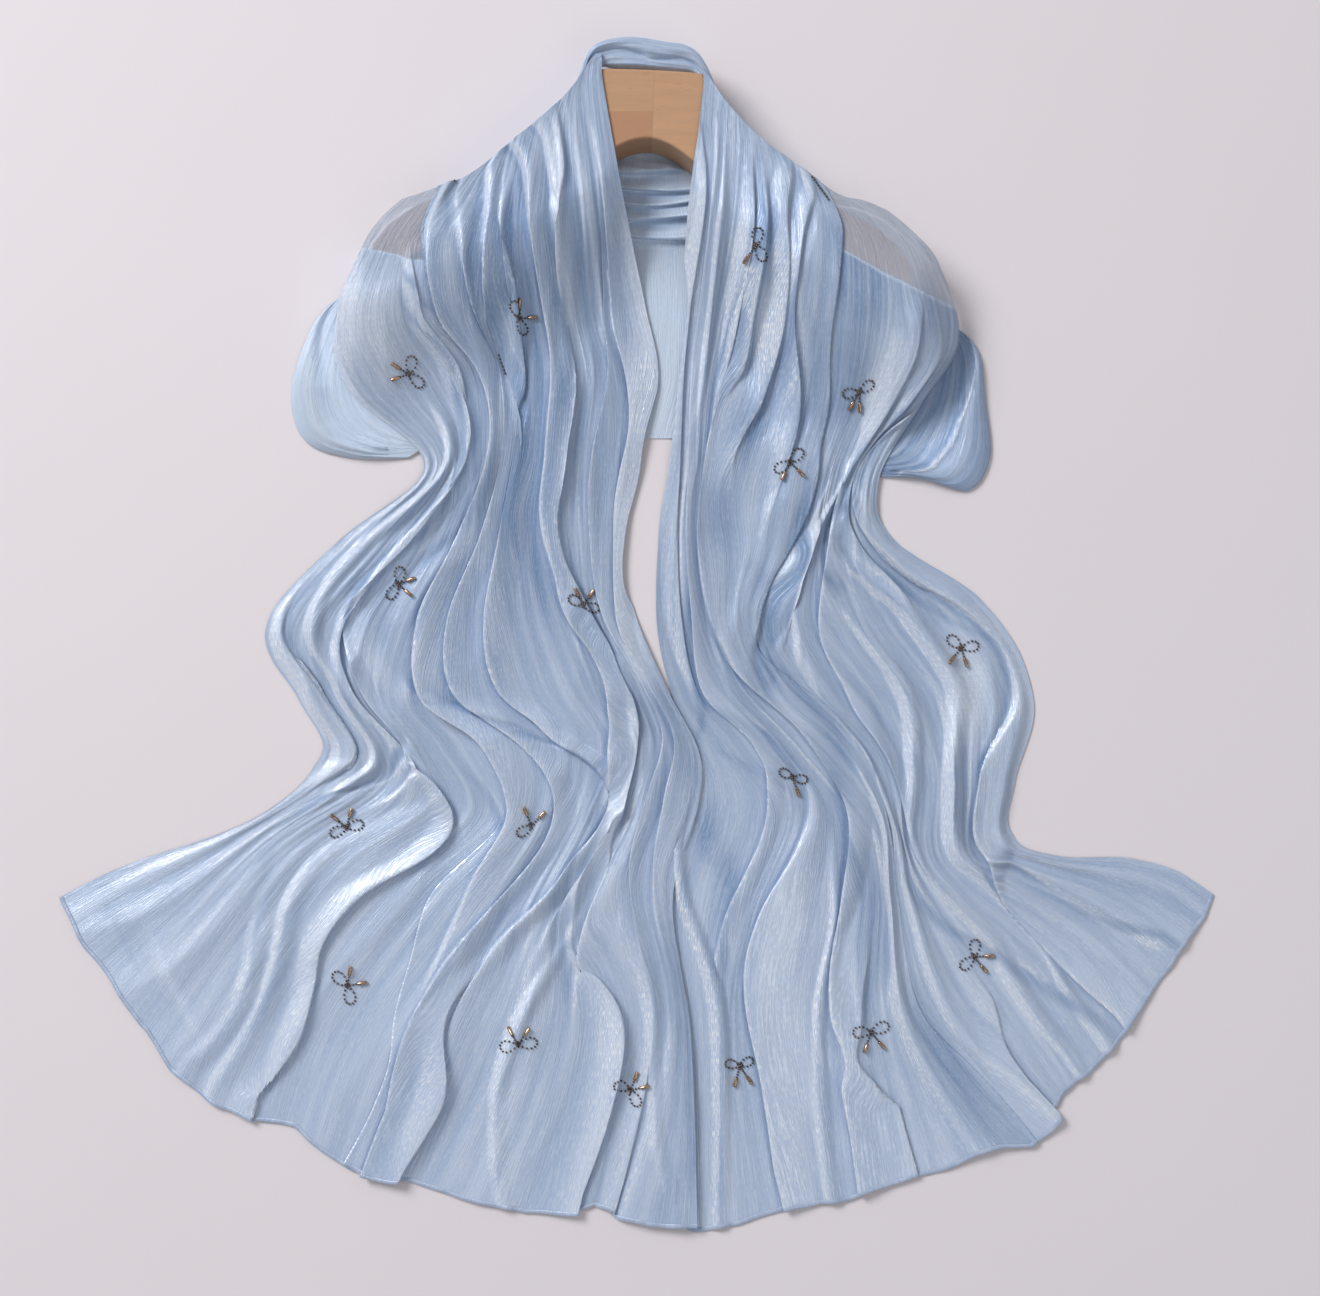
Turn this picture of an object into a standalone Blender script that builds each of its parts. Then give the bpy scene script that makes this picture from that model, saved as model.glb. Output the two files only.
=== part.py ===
"""Sheer hijab scarf laid flat over a wide wooden hanger, metres, +Z up, seen from above."""
import math
import bmesh
import bpy
import numpy as np

MM = 0.001
WALL = 1.2
GAP = 0.4
COLUMN_GAP = 0.0135
STEEPEST = 0.65
HEM_PULL = 0.7
PANEL_OVERLAP = 2.6
HEM_OVERLAP = 0.8
HEM_WALL = 1.0
HANGER_BASE = 2.2
HANGER_THICK = 33.0
HANGER_EDGE = 6.0
HANGER_TILT = math.radians(-2.6)
HANGER_CENTRE = (12.0, 410.5)
HANGER_SEAM = 14.6
CLOTH_TOP = HANGER_BASE + HANGER_THICK + 1.0
SLOPE_REACH = 112.0
BACK_LIFT = 2.2
BACK_END = 145.0
FRONT_ROWS = (0.0, 0.05, 0.11, 0.45, 0.9, 1.4, 1.9, 2.4, 2.9, 3.4, 3.8, 4.2, 4.6, 5.0, 5.4, 5.8, 6.3,
              6.9, 7.5, 8.0, 8.5, 9.0, 9.5, 10.0, 10.5, 11.0, 11.6, 12.3, 12.93, 13.0)

# Wooden hanger, half length from the middle outward: distance, drop of upper edge, drop of lower edge
HANGER_HALF = (
    (0.0, 0.0, 50.0),
    (14.0, 0.5, 53.0),
    (28.0, 2.0, 61.0),
    (41.0, 10.0, 71.0),
    (63.0, 31.0, 86.0),
    (82.0, 49.0, 98.0),
    (104.0, 68.0, 110.0),
    (136.0, 92.0, 128.0),
    (168.0, 107.0, 144.0),
    (186.0, 121.0, 155.0),
    (197.0, 136.0, 158.0),
)

# Lines that the left front is laid out on, with their share of its width
LEFT_LINES = {"inner": 0.0, "band": 0.10, "bright": 0.21, "shade": 0.35, "slit": 0.46, "crease": 0.59,
              "cape": 0.77, "outer": 1.0}
# Left front from shoulder to hem, a row for each section, x and y of each line in mm
LEFT_PLAN = (
    ((-24, 412), (-27, 423), (-44, 401), (-62, 383), (-84, 365), (-113, 340), (-136, 329), (-171, 316)),
    ((-22, 393), (-35, 396), (-50, 371), (-69, 352), (-91, 335), (-136, 310), (-158, 305), (-186, 301)),
    ((-8, 316), (-25, 312), (-47, 305), (-71, 297), (-98, 289), (-150, 281), (-173, 278), (-201, 275)),
    ((7, 245), (-18, 238), (-41, 236), (-64, 235), (-96, 233), (-144, 232), (-182, 226), (-224, 223)),
    ((17, 191), (-8, 191), (-31, 191), (-60, 189), (-90, 189), (-117, 194), (-161, 182), (-212, 179)),
    ((7, 129), (-12, 129), (-37, 131), (-65, 132), (-89, 135), (-111, 138), (-134, 129), (-156, 123)),
    ((-3, 77), (-17, 77), (-38, 77), (-71, 77), (-98, 73), (-125, 71), (-171, 65), (-216, 68)),
    ((-2, 21), (-14, 13), (-32, 16), (-59, 16), (-103, 13), (-153, 8), (-212, 6), (-274, 6)),
    ((24, -42), (12, -42), (-9, -42), (-37, -42), (-92, -42), (-162, -48), (-212, -42), (-249, -48)),
    ((47, -88), (28, -83), (5, -83), (-17, -83), (-63, -83), (-136, -85), (-185, -88), (-231, -85)),
    ((47, -126), (22, -126), (-4, -130), (-32, -133), (-66, -138), (-116, -135), (-192, -118), (-246, -113)),
    ((28, -200), (6, -191), (-34, -213), (-67, -206), (-108, -206), (-175, -187), (-258, -164), (-297, -147)),
    ((41, -299), (23, -295), (-16, -295), (-101, -306), (-171, -303), (-241, -273), (-320, -243), (-376, -170)),
    ((46, -441), (-10, -431), (-43, -427), (-151, -413), (-211, -400), (-276, -359), (-361, -301), (-427, -196)),
)
# Left lobe turned back under the shoulder, a row for each section: hidden border, middle, folded edge
LEFT_LOBE = (
    ((-196, 257), (-207, 254), (-219, 251)),
    ((-191, 225), (-216, 222), (-241, 228)),
    ((-187, 194), (-222, 185), (-256, 182)),
    ((-175, 172), (-211, 155), (-248, 145)),
    ((-156, 155), (-184, 141), (-216, 131)),
    ((-144, 146), (-156, 139), (-170, 130)),
)
RIGHT_LINES = {"inner": 0.0, "band": 0.06, "groove": 0.13, "bright": 0.24, "edge": 0.42, "crease": 0.62,
               "cape": 0.80, "outer": 1.0}
# Right front from shoulder to hem, a row for each section, x and y of each line in mm
RIGHT_PLAN = (
    ((49, 411), (54, 405), (65, 391), (85, 368), (125, 337), (148, 320), (165, 316), (184, 308)),
    ((49, 391), (53, 389), (63, 366), (89, 344), (142, 309), (165, 303), (184, 299), (203, 291)),
    ((39, 312), (50, 316), (60, 305), (85, 297), (147, 279), (180, 275), (202, 270), (223, 266)),
    ((34, 245), (46, 245), (54, 238), (70, 231), (146, 227), (182, 220), (211, 217), (240, 216)),
    ((29, 188), (39, 188), (48, 184), (60, 180), (144, 174), (168, 170), (189, 170), (213, 171)),
    ((23, 129), (33, 129), (42, 129), (55, 125), (129, 121), (148, 117), (164, 115), (181, 114)),
    ((17, 69), (27, 69), (38, 69), (52, 69), (117, 62), (140, 62), (163, 64), (192, 67)),
    ((16, 6), (27, 6), (43, 10), (59, 13), (96, 10), (148, 1), (197, 8), (260, 21)),
    ((27, -46), (41, -46), (59, -42), (81, -39), (115, -35), (185, -54), (237, -50), (293, -50)),
    ((42, -88), (70, -85), (96, -83), (119, -83), (163, -83), (206, -102), (245, -109), (280, -109)),
    ((40, -126), (96, -132), (120, -133), (156, -135), (189, -139), (207, -161), (245, -161), (276, -152)),
    ((21, -200), (72, -217), (93, -210), (164, -198), (194, -198), (230, -202), (271, -184), (316, -167)),
    ((34, -299), (64, -295), (84, -295), (155, -280), (215, -288), (279, -262), (334, -225), (375, -170)),
    ((39, -440), (69, -443), (110, -426), (171, -418), (285, -370), (329, -336), (383, -273), (429, -195)),
)
# Right lobe turned back under the shoulder, a row for each section: hidden border, middle, folded edge
RIGHT_LOBE = (
    ((218, 231), (229, 230), (239, 227)),
    ((213, 209), (234, 206), (256, 209)),
    ((198, 184), (230, 175), (261, 172)),
    ((182, 162), (219, 147), (264, 130)),
    ((168, 146), (206, 129), (248, 106)),
    ((158, 135), (182, 124), (215, 114)),
    ((149, 127), (166, 120), (186, 116)),
)

# Folds of a front: place across it, half width, then height in mm at shoulder, chest, waist, thigh, hem,
# and how far the crest leans outward
FOLD_SECTIONS = (0.3, 3.0, 5.5, 9.5, 13.0)
LEFT_FOLDS = {
    "band roll": (0.050, 0.042, 3.0, 5.0, 6.0, 5.0, 3.0, 0.0),
    "bright ridge": (0.150, 0.045, 4.0, 6.0, 7.0, 9.0, 4.0, 0.15),
    "inner pleat": (0.235, 0.036, 5.0, 8.0, 6.0, 7.0, 5.0, -0.15),
    "satin pleat": (0.310, 0.034, 4.0, 7.0, 9.0, 8.0, 6.0, 0.15),
    "slit pleat": (0.400, 0.040, 5.0, 8.0, 8.0, 6.0, 4.0, 0.2),
    "waist pleat": (0.490, 0.040, 6.0, 9.0, 10.0, 9.0, 5.0, -0.15),
    "edge pleat": (0.560, 0.028, 3.0, 5.0, 6.0, 4.0, 3.0, 0.0),
    "gather": (0.665, 0.036, 2.0, 4.0, 9.0, 9.0, 5.0, 0.15),
    "cape swell": (0.750, 0.045, 2.0, 6.0, 9.0, 8.0, 6.0, 0.2),
    "soft swell": (0.840, 0.042, 0.0, 6.0, 8.0, 10.0, 4.0, -0.12),
    "outer swell": (0.930, 0.046, 0.0, 6.0, 6.0, 5.0, 3.0, 0.0),
}
RIGHT_FOLDS = {
    "band roll": (0.030, 0.027, 3.0, 5.0, 2.4, 0.0, 0.0, 0.0),
    "groove pleat": (0.100, 0.036, 4.0, 6.0, 6.0, 8.0, 4.0, 0.15),
    "bright ridge": (0.185, 0.040, 6.0, 9.0, 9.0, 7.0, 5.0, -0.15),
    "wide pleat": (0.265, 0.038, 4.0, 7.0, 6.0, 8.0, 5.0, 0.15),
    "slit pleat": (0.335, 0.032, 5.0, 7.0, 8.0, 6.0, 4.0, 0.15),
    "edge pleat": (0.393, 0.025, 3.0, 5.0, 6.0, 4.0, 3.0, 0.0),
    "gather": (0.500, 0.040, 2.0, 4.0, 9.0, 9.0, 5.0, 0.15),
    "knee pleat": (0.585, 0.040, 2.0, 4.0, 8.0, 9.0, 6.0, 0.15),
    "cape swell": (0.670, 0.042, 2.0, 6.0, 9.0, 6.0, 5.0, 0.2),
    "soft swell": (0.760, 0.045, 0.0, 7.0, 8.0, 8.0, 5.0, -0.12),
    "wing swell": (0.850, 0.042, 0.0, 7.0, 6.0, 8.0, 4.0, 0.0),
    "outer swell": (0.935, 0.042, 0.0, 6.0, 6.0, 5.0, 3.0, 0.0),
}
LEFT_SPLIT, RIGHT_SPLIT = 0.59, 0.42
UNDERLAP = 0.038
EDGE_LIFT = 2.1
LOBE_SWELL = 5.5
# Share of the lobe's width that lies under the shoulder, from its tip to the waist
LOBE_EDGE = {"along": (0.0, 0.2, 0.4, 0.6, 0.8, 0.9, 1.0), "covered": (0.98, 0.85, 0.55, 0.45, 0.5, 0.8, 0.95)}

# Back drape from under the hanger to its selvage: y, left and right border, in mm
BACK_PLAN = (
    (388.0, -38.0, 52.0),
    (366.0, -66.0, 76.0),
    (340.0, -94.0, 106.0),
    (316.0, -132.0, 136.0),
    (285.0, -150.0, 172.0),
    (240.0, -158.0, 180.0),
    (190.0, -150.0, 176.0),
    (BACK_END, -130.0, 140.0),
)
# Swags gathered across the back below the hanger: y at the middle, half width, height
BACK_SWAGS = {
    "first": (347.0, 6.5, 5.0),
    "second": (332.0, 7.0, 6.5),
    "third": (317.5, 6.5, 6.0),
    "lowest": (302.0, 8.0, 6.5),
}

# Section of the band behind the neck: distance out from the hanger's upper edge, height, in mm
NECK_SECTION = (
    (0.0, 24.0), (0.8, 29.5), (3.0, 33.0), (6.5, 35.0), (10.0, 31.5), (12.0, 30.0), (15.5, 31.5), (19.0, 28.5),
    (22.0, 22.0), (23.5, 14.0), (22.5, 8.0), (19.5, 4.5), (15.0, 3.2),
)
NECK_LEFT, NECK_RIGHT = -20.4, 46.0
NECK_ARCH = 5.5


def clear_scene():
    for thing in list(bpy.data.objects):
        bpy.data.objects.remove(thing, do_unlink=True)


def smooth(t):
    t = np.clip(t, 0.0, 1.0)
    return t * t * (3.0 - 2.0 * t)


def spline(knots, values, at):
    """Smooth curve through values (rows at the knots), read at any places."""
    knots = np.asarray(knots, float)
    values = np.asarray(values, float)
    step = np.diff(knots)
    slope = np.diff(values, axis=0) / step[:, None]
    lean = np.zeros_like(values)
    lean[1:-1] = (slope[:-1] * step[1:, None] + slope[1:] * step[:-1, None]) / (step[:-1] + step[1:])[:, None]
    lean[0] = 1.5 * slope[0] - 0.5 * lean[1]
    lean[-1] = 1.5 * slope[-1] - 0.5 * lean[-2]
    at = np.asarray(at, float)
    i = np.clip(np.searchsorted(knots, at, side="right") - 1, 0, len(knots) - 2)
    h = step[i][:, None]
    s = ((at - knots[i])[:, None]) / h
    return ((2 * s**3 - 3 * s**2 + 1) * values[i] + (s**3 - 2 * s**2 + s) * h * lean[i]
            + (3 * s**2 - 2 * s**3) * values[i + 1] + (s**3 - s**2) * h * lean[i + 1])


def plan_points(plan, lines, across, down):
    """Plan x, y in mm of a front: across has a value for each point of a row, down one for each row."""
    table = np.asarray(plan, float)
    knots = list(lines.values())
    rows = np.stack([spline(np.arange(len(table)), table[:, k], down) for k in range(len(knots))], axis=1)
    return np.stack([spline(knots, rows[r], across[r]) for r in range(len(down))])


def hanger_frame(x, y):
    """Distance along the hanger from its middle, and drop below its upper middle."""
    dx = x - HANGER_CENTRE[0]
    dy = y - HANGER_CENTRE[1]
    c, s = math.cos(HANGER_TILT), math.sin(HANGER_TILT)
    return dx * c + dy * s, -(-dx * s + dy * c)


def cloth_lift(x, y):
    """Height of the flat cloth in mm: level on the hanger, sloping to the table below it."""
    along, drop = hanger_frame(x, y)
    half = np.asarray(HANGER_HALF)
    reach = np.abs(along)
    lower = np.interp(reach, half[:, 0], half[:, 2])
    below = np.maximum(drop - lower - 13.0, 0.0)
    past = np.maximum(reach - half[-1, 0] - 2.0, 0.0)
    away = np.hypot(below, past * 1.6)
    over = (CLOTH_TOP - BACK_LIFT) * (1.0 - smooth(away / SLOPE_REACH)) ** 1.25
    shelf = BACK_LIFT * smooth((y - BACK_END + 36.0) / 14.0)
    return np.maximum(shelf, 0.0) + over


def fold_columns(folds, start, end):
    """Places across a piece of cloth where its folds start, rise and crest."""
    places = [start, end]
    for place, half, *_ in folds.values():
        places += [place - half, place - half / 2, place, place + half / 2, place + half]
    if end == 1.0:
        places.append(0.985)
    kept = []
    for place in sorted(p for p in places if start <= p <= end):
        if not kept or place - kept[-1] > COLUMN_GAP:
            kept.append(place)
    kept[-1] = end
    return np.array(kept)


def cloth_surface(plan, lines, folds, across, down, split=None, overlap=0.0):
    """Under face of a front or of the side below it, as rows of x, y, z in mm."""
    v = np.asarray(down, float)[:, None]
    u = np.tile(np.asarray(across, float), (len(down), 1))
    front = u[0, 0] < 0.01
    if not front:
        first = u[0, 0]
        tucked = first + (UNDERLAP + 0.006) * (1.0 - smooth((v - 0.15) / 0.8))
        u = np.maximum(u, tucked + (u - first) * 0.2)
    relief = np.zeros_like(u)
    shift = np.zeros_like(u)
    for place, half, *rest in folds.values():
        height = np.interp(v[:, 0], FOLD_SECTIONS, rest[:5])[:, None]
        sides = plan_points(plan, lines, np.tile([place - half * 0.9, place + half * 0.9], (len(down), 1)), down)
        spread = np.linalg.norm(sides[:, 1] - sides[:, 0], axis=1)[:, None] / 2.0
        height = np.minimum(height, STEEPEST * spread * (1.0 - 1.5 * abs(rest[5])))
        d = np.clip(np.abs(u - place) / half, 0.0, 1.0)
        bump = np.cos(0.5 * math.pi * d) ** 2
        relief = np.maximum(relief, height * bump)
        shift += rest[5] * half * bump
    relief = relief * (smooth(v / 1.2) * 0.6 + 0.4)
    xy = plan_points(plan, lines, u + shift, down)
    lift = cloth_lift(xy[..., 0], xy[..., 1])
    tuck = smooth(v / 0.105)
    low = 0.6
    over_lobe = 2.2 * smooth((v - 1.9) / 0.4) * (1.0 - smooth((v - 5.35) / 0.45))
    if front:
        edge = smooth((u - split + 0.11) / 0.05)
        lift = np.maximum(lift, over_lobe * edge) + EDGE_LIFT * edge
    else:
        tuck = tuck * smooth((1.0 - u) / 0.028)
        low = np.where(v < 1.8, 0.6, 0.0) * np.ones_like(u) + over_lobe
        lift = np.maximum(lift, low)
    z = (lift + relief) * tuck + low * (1.0 - tuck)
    over = smooth((v - 6.9) / 0.6) + HEM_OVERLAP * smooth((v - 11.6) / 0.8)
    z = z + overlap * smooth((0.12 - u) / 0.05) * over
    flow = np.gradient(xy, axis=0)
    flow /= np.maximum(np.linalg.norm(flow, axis=2, keepdims=True), 1e-9)
    xy = xy - flow * (HEM_PULL * relief * smooth((v - 11.8) / 1.2))[..., None]
    return np.concatenate([xy, z[..., None]], axis=2)


def lobe_surface(plan):
    """Lobe of cloth turned back under the shoulder, flat inside and puffed at its fold."""
    across = np.array([0.0, 0.25, 0.45, 0.6, 0.72, 0.84, 0.94, 1.0])
    down = np.linspace(0.0, len(plan) - 1.0, 13)
    table = np.asarray(plan, float)
    rows = np.stack([spline(np.arange(len(table)), table[:, k], down) for k in range(3)], axis=1)
    xy = np.stack([spline((0.0, 0.5, 1.0), row, across) for row in rows])
    start = np.interp(down / down[-1], LOBE_EDGE["along"], LOBE_EDGE["covered"])[:, None]
    t = np.clip((across[None, :] - start) / (1.001 - start), 0.0, 1.0)
    ends = np.sin(math.pi * np.clip(down / down[-1], 0.0, 1.0))[:, None]
    z = LOBE_SWELL * ends * np.sin(math.pi * t ** 1.2) ** 1.3
    return np.concatenate([xy, z[..., None]], axis=2)


def cloth_grid(name, points):
    """A sheet made as a Blender grid whose vertices are moved to the rows of points."""
    rows, columns = points.shape[:2]
    bm = bmesh.new()
    bmesh.ops.create_grid(bm, x_segments=columns - 1, y_segments=rows - 1, size=0.5)
    for vert in bm.verts:
        i = int(round((vert.co.x + 0.5) * (columns - 1)))
        j = int(round((0.5 - vert.co.y) * (rows - 1)))
        vert.co = [float(c) * MM for c in points[j, i]]
    bm.normal_update()
    if sum(f.normal.z * f.calc_area() for f in bm.faces) < 0.0:
        bmesh.ops.reverse_faces(bm, faces=bm.faces)
    mesh = bpy.data.meshes.new(name)
    bm.to_mesh(mesh)
    bm.free()
    return bpy.data.objects.new(name, mesh)


def point_normals(points):
    """Upward normals of a sheet of points."""
    du = np.gradient(points, axis=1)
    dv = np.gradient(points, axis=0)
    n = np.cross(dv, du)
    n *= 1.0 if n[..., 2].mean() > 0.0 else -1.0
    return n / np.maximum(np.linalg.norm(n, axis=2, keepdims=True), 1e-9)


def finish(thing, collection, material, wall=None, edge=None):
    collection.objects.link(thing)
    thing.data.materials.append(material)
    if wall:
        mod = thing.modifiers.new("Wall", "SOLIDIFY")
        mod.thickness = wall * MM
        mod.offset = 1.0
        mod.use_even_offset = False
    if edge:
        mod = thing.modifiers.new("Edge", "BEVEL")
        mod.width = edge * MM
        mod.segments = 3
        mod.limit_method = "ANGLE"
        mod.angle_limit = math.radians(50.0)
        mod.use_clamp_overlap = True
    for face in thing.data.polygons:
        face.use_smooth = True
    return thing


def hanger_half(name, side):
    """One glued half of the hanger: its plan as a grid, thickened upward."""
    seam = HANGER_SEAM - HANGER_CENTRE[0]
    start = seam + side * 0.15
    first = np.interp(abs(start), [r[0] for r in HANGER_HALF], [r[1] for r in HANGER_HALF])
    second = np.interp(abs(start), [r[0] for r in HANGER_HALF], [r[2] for r in HANGER_HALF])
    full = [(-d, top, low) for d, top, low in HANGER_HALF[:0:-1]] + list(HANGER_HALF)
    past = [row for row in full if side * (row[0] - start) > 1.0]
    rows = [(start, first, second)] + past[::int(side)]
    c, s = math.cos(HANGER_TILT), math.sin(HANGER_TILT)
    bm = bmesh.new()
    bmesh.ops.create_grid(bm, x_segments=len(rows) - 1, y_segments=1, size=0.5)
    for vert in bm.verts:
        along, top, low = rows[int(round((vert.co.x + 0.5) * (len(rows) - 1)))]
        drop = low if vert.co.y < 0.0 else top
        x = HANGER_CENTRE[0] + along * c + drop * s
        y = HANGER_CENTRE[1] + along * s - drop * c
        vert.co = (x * MM, y * MM, HANGER_BASE * MM)
    raised = bmesh.ops.extrude_face_region(bm, geom=bm.faces[:])["geom"]
    for vert in (g for g in raised if isinstance(g, bmesh.types.BMVert)):
        vert.co.z += HANGER_THICK * MM
    bmesh.ops.recalc_face_normals(bm, faces=bm.faces)
    mesh = bpy.data.meshes.new(name)
    bm.to_mesh(mesh)
    bm.free()
    return bpy.data.objects.new(name, mesh)


def neck_points():
    """Gathered band behind the neck, from one front to the other."""
    section = np.asarray(NECK_SECTION)
    along = np.linspace(0.0, 1.0, 13)
    rows = []
    for t in along:
        x = NECK_LEFT + (NECK_RIGHT - NECK_LEFT) * t
        sway = math.sin(math.pi * t)
        edge = HANGER_CENTRE[1] + (x - HANGER_CENTRE[0]) * math.tan(HANGER_TILT)
        out = section[:, 0] * (0.80 + 0.20 * sway) + WALL + GAP
        y = edge + out + NECK_ARCH * 0.35 * sway * (section[:, 0] / 24.0)
        z = section[:, 1] * (0.93 + 0.07 * sway)
        z = np.where(section[:, 1] > 24.0, z + 1.0 * np.sin(5.0 * t + section[:, 0] * 0.35), z)
        rows.append(np.stack([np.full_like(y, x), y, z], axis=1))
    return np.stack(rows)


def back_points():
    """Back drape: flat on the table, with swags gathered below the hanger."""
    plan = np.asarray(BACK_PLAN)
    down = [388.0, 372.0, 358.0]
    for y, half, _ in BACK_SWAGS.values():
        down += [y + half * 0.95, y + half * 0.5, y, y - half * 0.5]
    down = np.array(down + [290.0, 260.0, 220.0, 180.0, BACK_END])
    across = np.linspace(0.0, 1.0, 17)
    left = np.interp(-down, -plan[:, 0], plan[:, 1])
    right = np.interp(-down, -plan[:, 0], plan[:, 2])
    x = left[:, None] + (right - left)[:, None] * across[None, :]
    y = np.tile(down[:, None], (1, len(across)))
    z = np.zeros_like(x)
    middle = np.exp(-((x - 12.0) / 70.0) ** 2)
    for y0, half, height in BACK_SWAGS.values():
        d = np.clip(np.abs(y - y0) / half, 0.0, 1.0)
        z = np.maximum(z, height * np.cos(0.5 * math.pi * d) ** 2 * middle)
    rise = np.interp(down, (275.0, 300.0, 345.0, 388.0), (0.0, 3.0, 7.0, 0.0))[:, None]
    y = y + rise * np.clip((x - 12.0) / 60.0, -1.0, 1.0) ** 2
    along, drop = hanger_frame(x, y)
    half = np.asarray(HANGER_HALF)
    clear = drop - np.interp(np.abs(along), half[:, 0], half[:, 2])
    z = z * smooth((clear - 2.5) / 7.0)
    return np.stack([x, y, z], axis=2)


def hem_points(points):
    """Folded hem lying on the end of a front, from that front's own last two rows."""
    normal = point_normals(points)
    return (points + normal * (WALL + GAP))[-2:]


def settle_on_floor(things):
    """Move all so that the middle of the base of the whole is at the origin."""
    bpy.context.view_layer.update()
    graph = bpy.context.evaluated_depsgraph_get()
    corners = []
    for thing in things:
        mesh = thing.evaluated_get(graph).to_mesh()
        co = np.empty(len(mesh.vertices) * 3)
        mesh.vertices.foreach_get("co", co)
        corners.append(co.reshape(-1, 3))
        thing.evaluated_get(graph).to_mesh_clear()
    co = np.concatenate(corners)
    low, high = co.min(axis=0), co.max(axis=0)
    move = np.array([-(low[0] + high[0]) / 2, -(low[1] + high[1]) / 2, -low[2]])
    for thing in things:
        for vert in thing.data.vertices:
            vert.co = [float(a + b) for a, b in zip(vert.co, move)]
    print("moved by", [round(float(m) * 1000, 3) for m in move], "size", (high - low) * 1000)


def material(name, colour, rough):
    mat = bpy.data.materials.new(name)
    mat.use_nodes = True
    shader = mat.node_tree.nodes["Principled BSDF"]
    shader.inputs["Base Color"].default_value = (*colour, 1.0)
    shader.inputs["Roughness"].default_value = rough
    mat.diffuse_color = (*colour, 1.0)
    return mat


def main():
    clear_scene()
    group = bpy.data.collections.new("hijab_scarf")
    bpy.context.scene.collection.children.link(group)
    chiffon = (0.42, 0.55, 0.72)
    wood = (0.55, 0.33, 0.18)
    things = []
    for name, side in (("hanger_left", -1.0), ("hanger_right", 1.0)):
        things.append(finish(hanger_half(name, side), group, material(name + "_wood", wood, 0.5),
                             edge=HANGER_EDGE))
    things.append(finish(cloth_grid("neck_band", neck_points()), group,
                         material("neck_band_chiffon", chiffon, 0.45), wall=WALL))
    things.append(finish(cloth_grid("back_drape", back_points()), group,
                         material("back_drape_chiffon", chiffon, 0.45), wall=WALL))
    for side, plan, lines, folds, split, overlap, lobe in (
            ("left", LEFT_PLAN, LEFT_LINES, LEFT_FOLDS, LEFT_SPLIT, PANEL_OVERLAP, LEFT_LOBE),
            ("right", RIGHT_PLAN, RIGHT_LINES, RIGHT_FOLDS, RIGHT_SPLIT, 0.0, RIGHT_LOBE)):
        upper = {key: fold for key, fold in folds.items() if fold[0] < split}
        outer = {key: fold for key, fold in folds.items() if fold[0] > split}
        front = cloth_surface(plan, lines, upper, fold_columns(upper, 0.0, split), FRONT_ROWS, split, overlap)
        below = fold_columns(outer, split - UNDERLAP, 1.0)
        fall = cloth_surface(plan, lines, outer, below, FRONT_ROWS)
        seen = below > split + 0.004
        for name, points, wall in (
                ("front_" + side, front, WALL),
                ("shoulder_" + side, fall, WALL),
                ("lobe_" + side, lobe_surface(lobe), WALL),
                ("hem_front_" + side, hem_points(front), HEM_WALL),
                ("hem_shoulder_" + side, hem_points(fall)[:, seen], HEM_WALL)):
            things.append(finish(cloth_grid(name, points), group, material(name + "_chiffon", chiffon, 0.45),
                                 wall=wall))
    settle_on_floor(things)


main()
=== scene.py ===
# %% [markdown]
# # A sheer scarf laid over a wooden hanger
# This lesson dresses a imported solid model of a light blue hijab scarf. The scarf is one long
# cloth that lies flat on a table, over a thick wooden hanger, and is seen from straight above.
# The solid model gives every place and height. The lesson adds thin cloth with fine creases,
# the hems, the beaded bows, the wood, and the light.

# %% Load the solid model
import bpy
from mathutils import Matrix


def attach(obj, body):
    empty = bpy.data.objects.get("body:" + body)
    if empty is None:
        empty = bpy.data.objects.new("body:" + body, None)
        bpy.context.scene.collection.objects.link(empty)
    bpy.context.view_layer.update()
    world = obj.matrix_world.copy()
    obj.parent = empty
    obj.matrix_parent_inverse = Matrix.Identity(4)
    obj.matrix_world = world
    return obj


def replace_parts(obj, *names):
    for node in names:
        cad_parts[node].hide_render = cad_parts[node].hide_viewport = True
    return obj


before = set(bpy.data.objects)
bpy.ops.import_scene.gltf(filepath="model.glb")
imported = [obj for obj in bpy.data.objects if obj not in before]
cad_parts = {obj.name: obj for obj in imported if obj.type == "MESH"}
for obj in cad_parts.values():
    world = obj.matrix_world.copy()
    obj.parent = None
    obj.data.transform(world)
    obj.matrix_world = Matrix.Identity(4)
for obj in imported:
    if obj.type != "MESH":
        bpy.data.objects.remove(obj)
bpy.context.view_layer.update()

# %% Tools that the lesson uses
import math
import random

import bmesh
import bpy
import numpy as np
from mathutils import Vector
from mathutils.bvhtree import BVHTree

MM = 0.001
# From the plan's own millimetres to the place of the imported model
SETTLE = np.array([-1.0, 2.447, 0.0])
scene = bpy.context.scene
scene.view_settings.view_transform = "Standard"


def smooth(t):
    """Goes softly from 0 to 1 while t goes from 0 to 1."""
    t = np.clip(t, 0.0, 1.0)
    return t * t * (3.0 - 2.0 * t)


def ramp(value, start, length):
    """Goes softly from 0 to 1 over a length that begins at start."""
    return smooth((value - start) / length)


def read(table, at):
    """Reads a table of (place, value) rows at any places, with straight lines between the rows."""
    rows = np.asarray(table, float)
    return np.interp(at, rows[:, 0], rows[:, 1])


def soften(rows):
    """Softens each row across its columns, in place, but for the two end columns."""
    rows[:, 1:-1] = (rows[:, :-2] + 2.0 * rows[:, 1:-1] + rows[:, 2:]) / 4.0
    return rows


def mesh_of(bm, name):
    """Turns a bmesh into a mesh, and frees it."""
    mesh = bpy.data.meshes.new(name)
    bm.to_mesh(mesh)
    bm.free()
    return mesh


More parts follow.
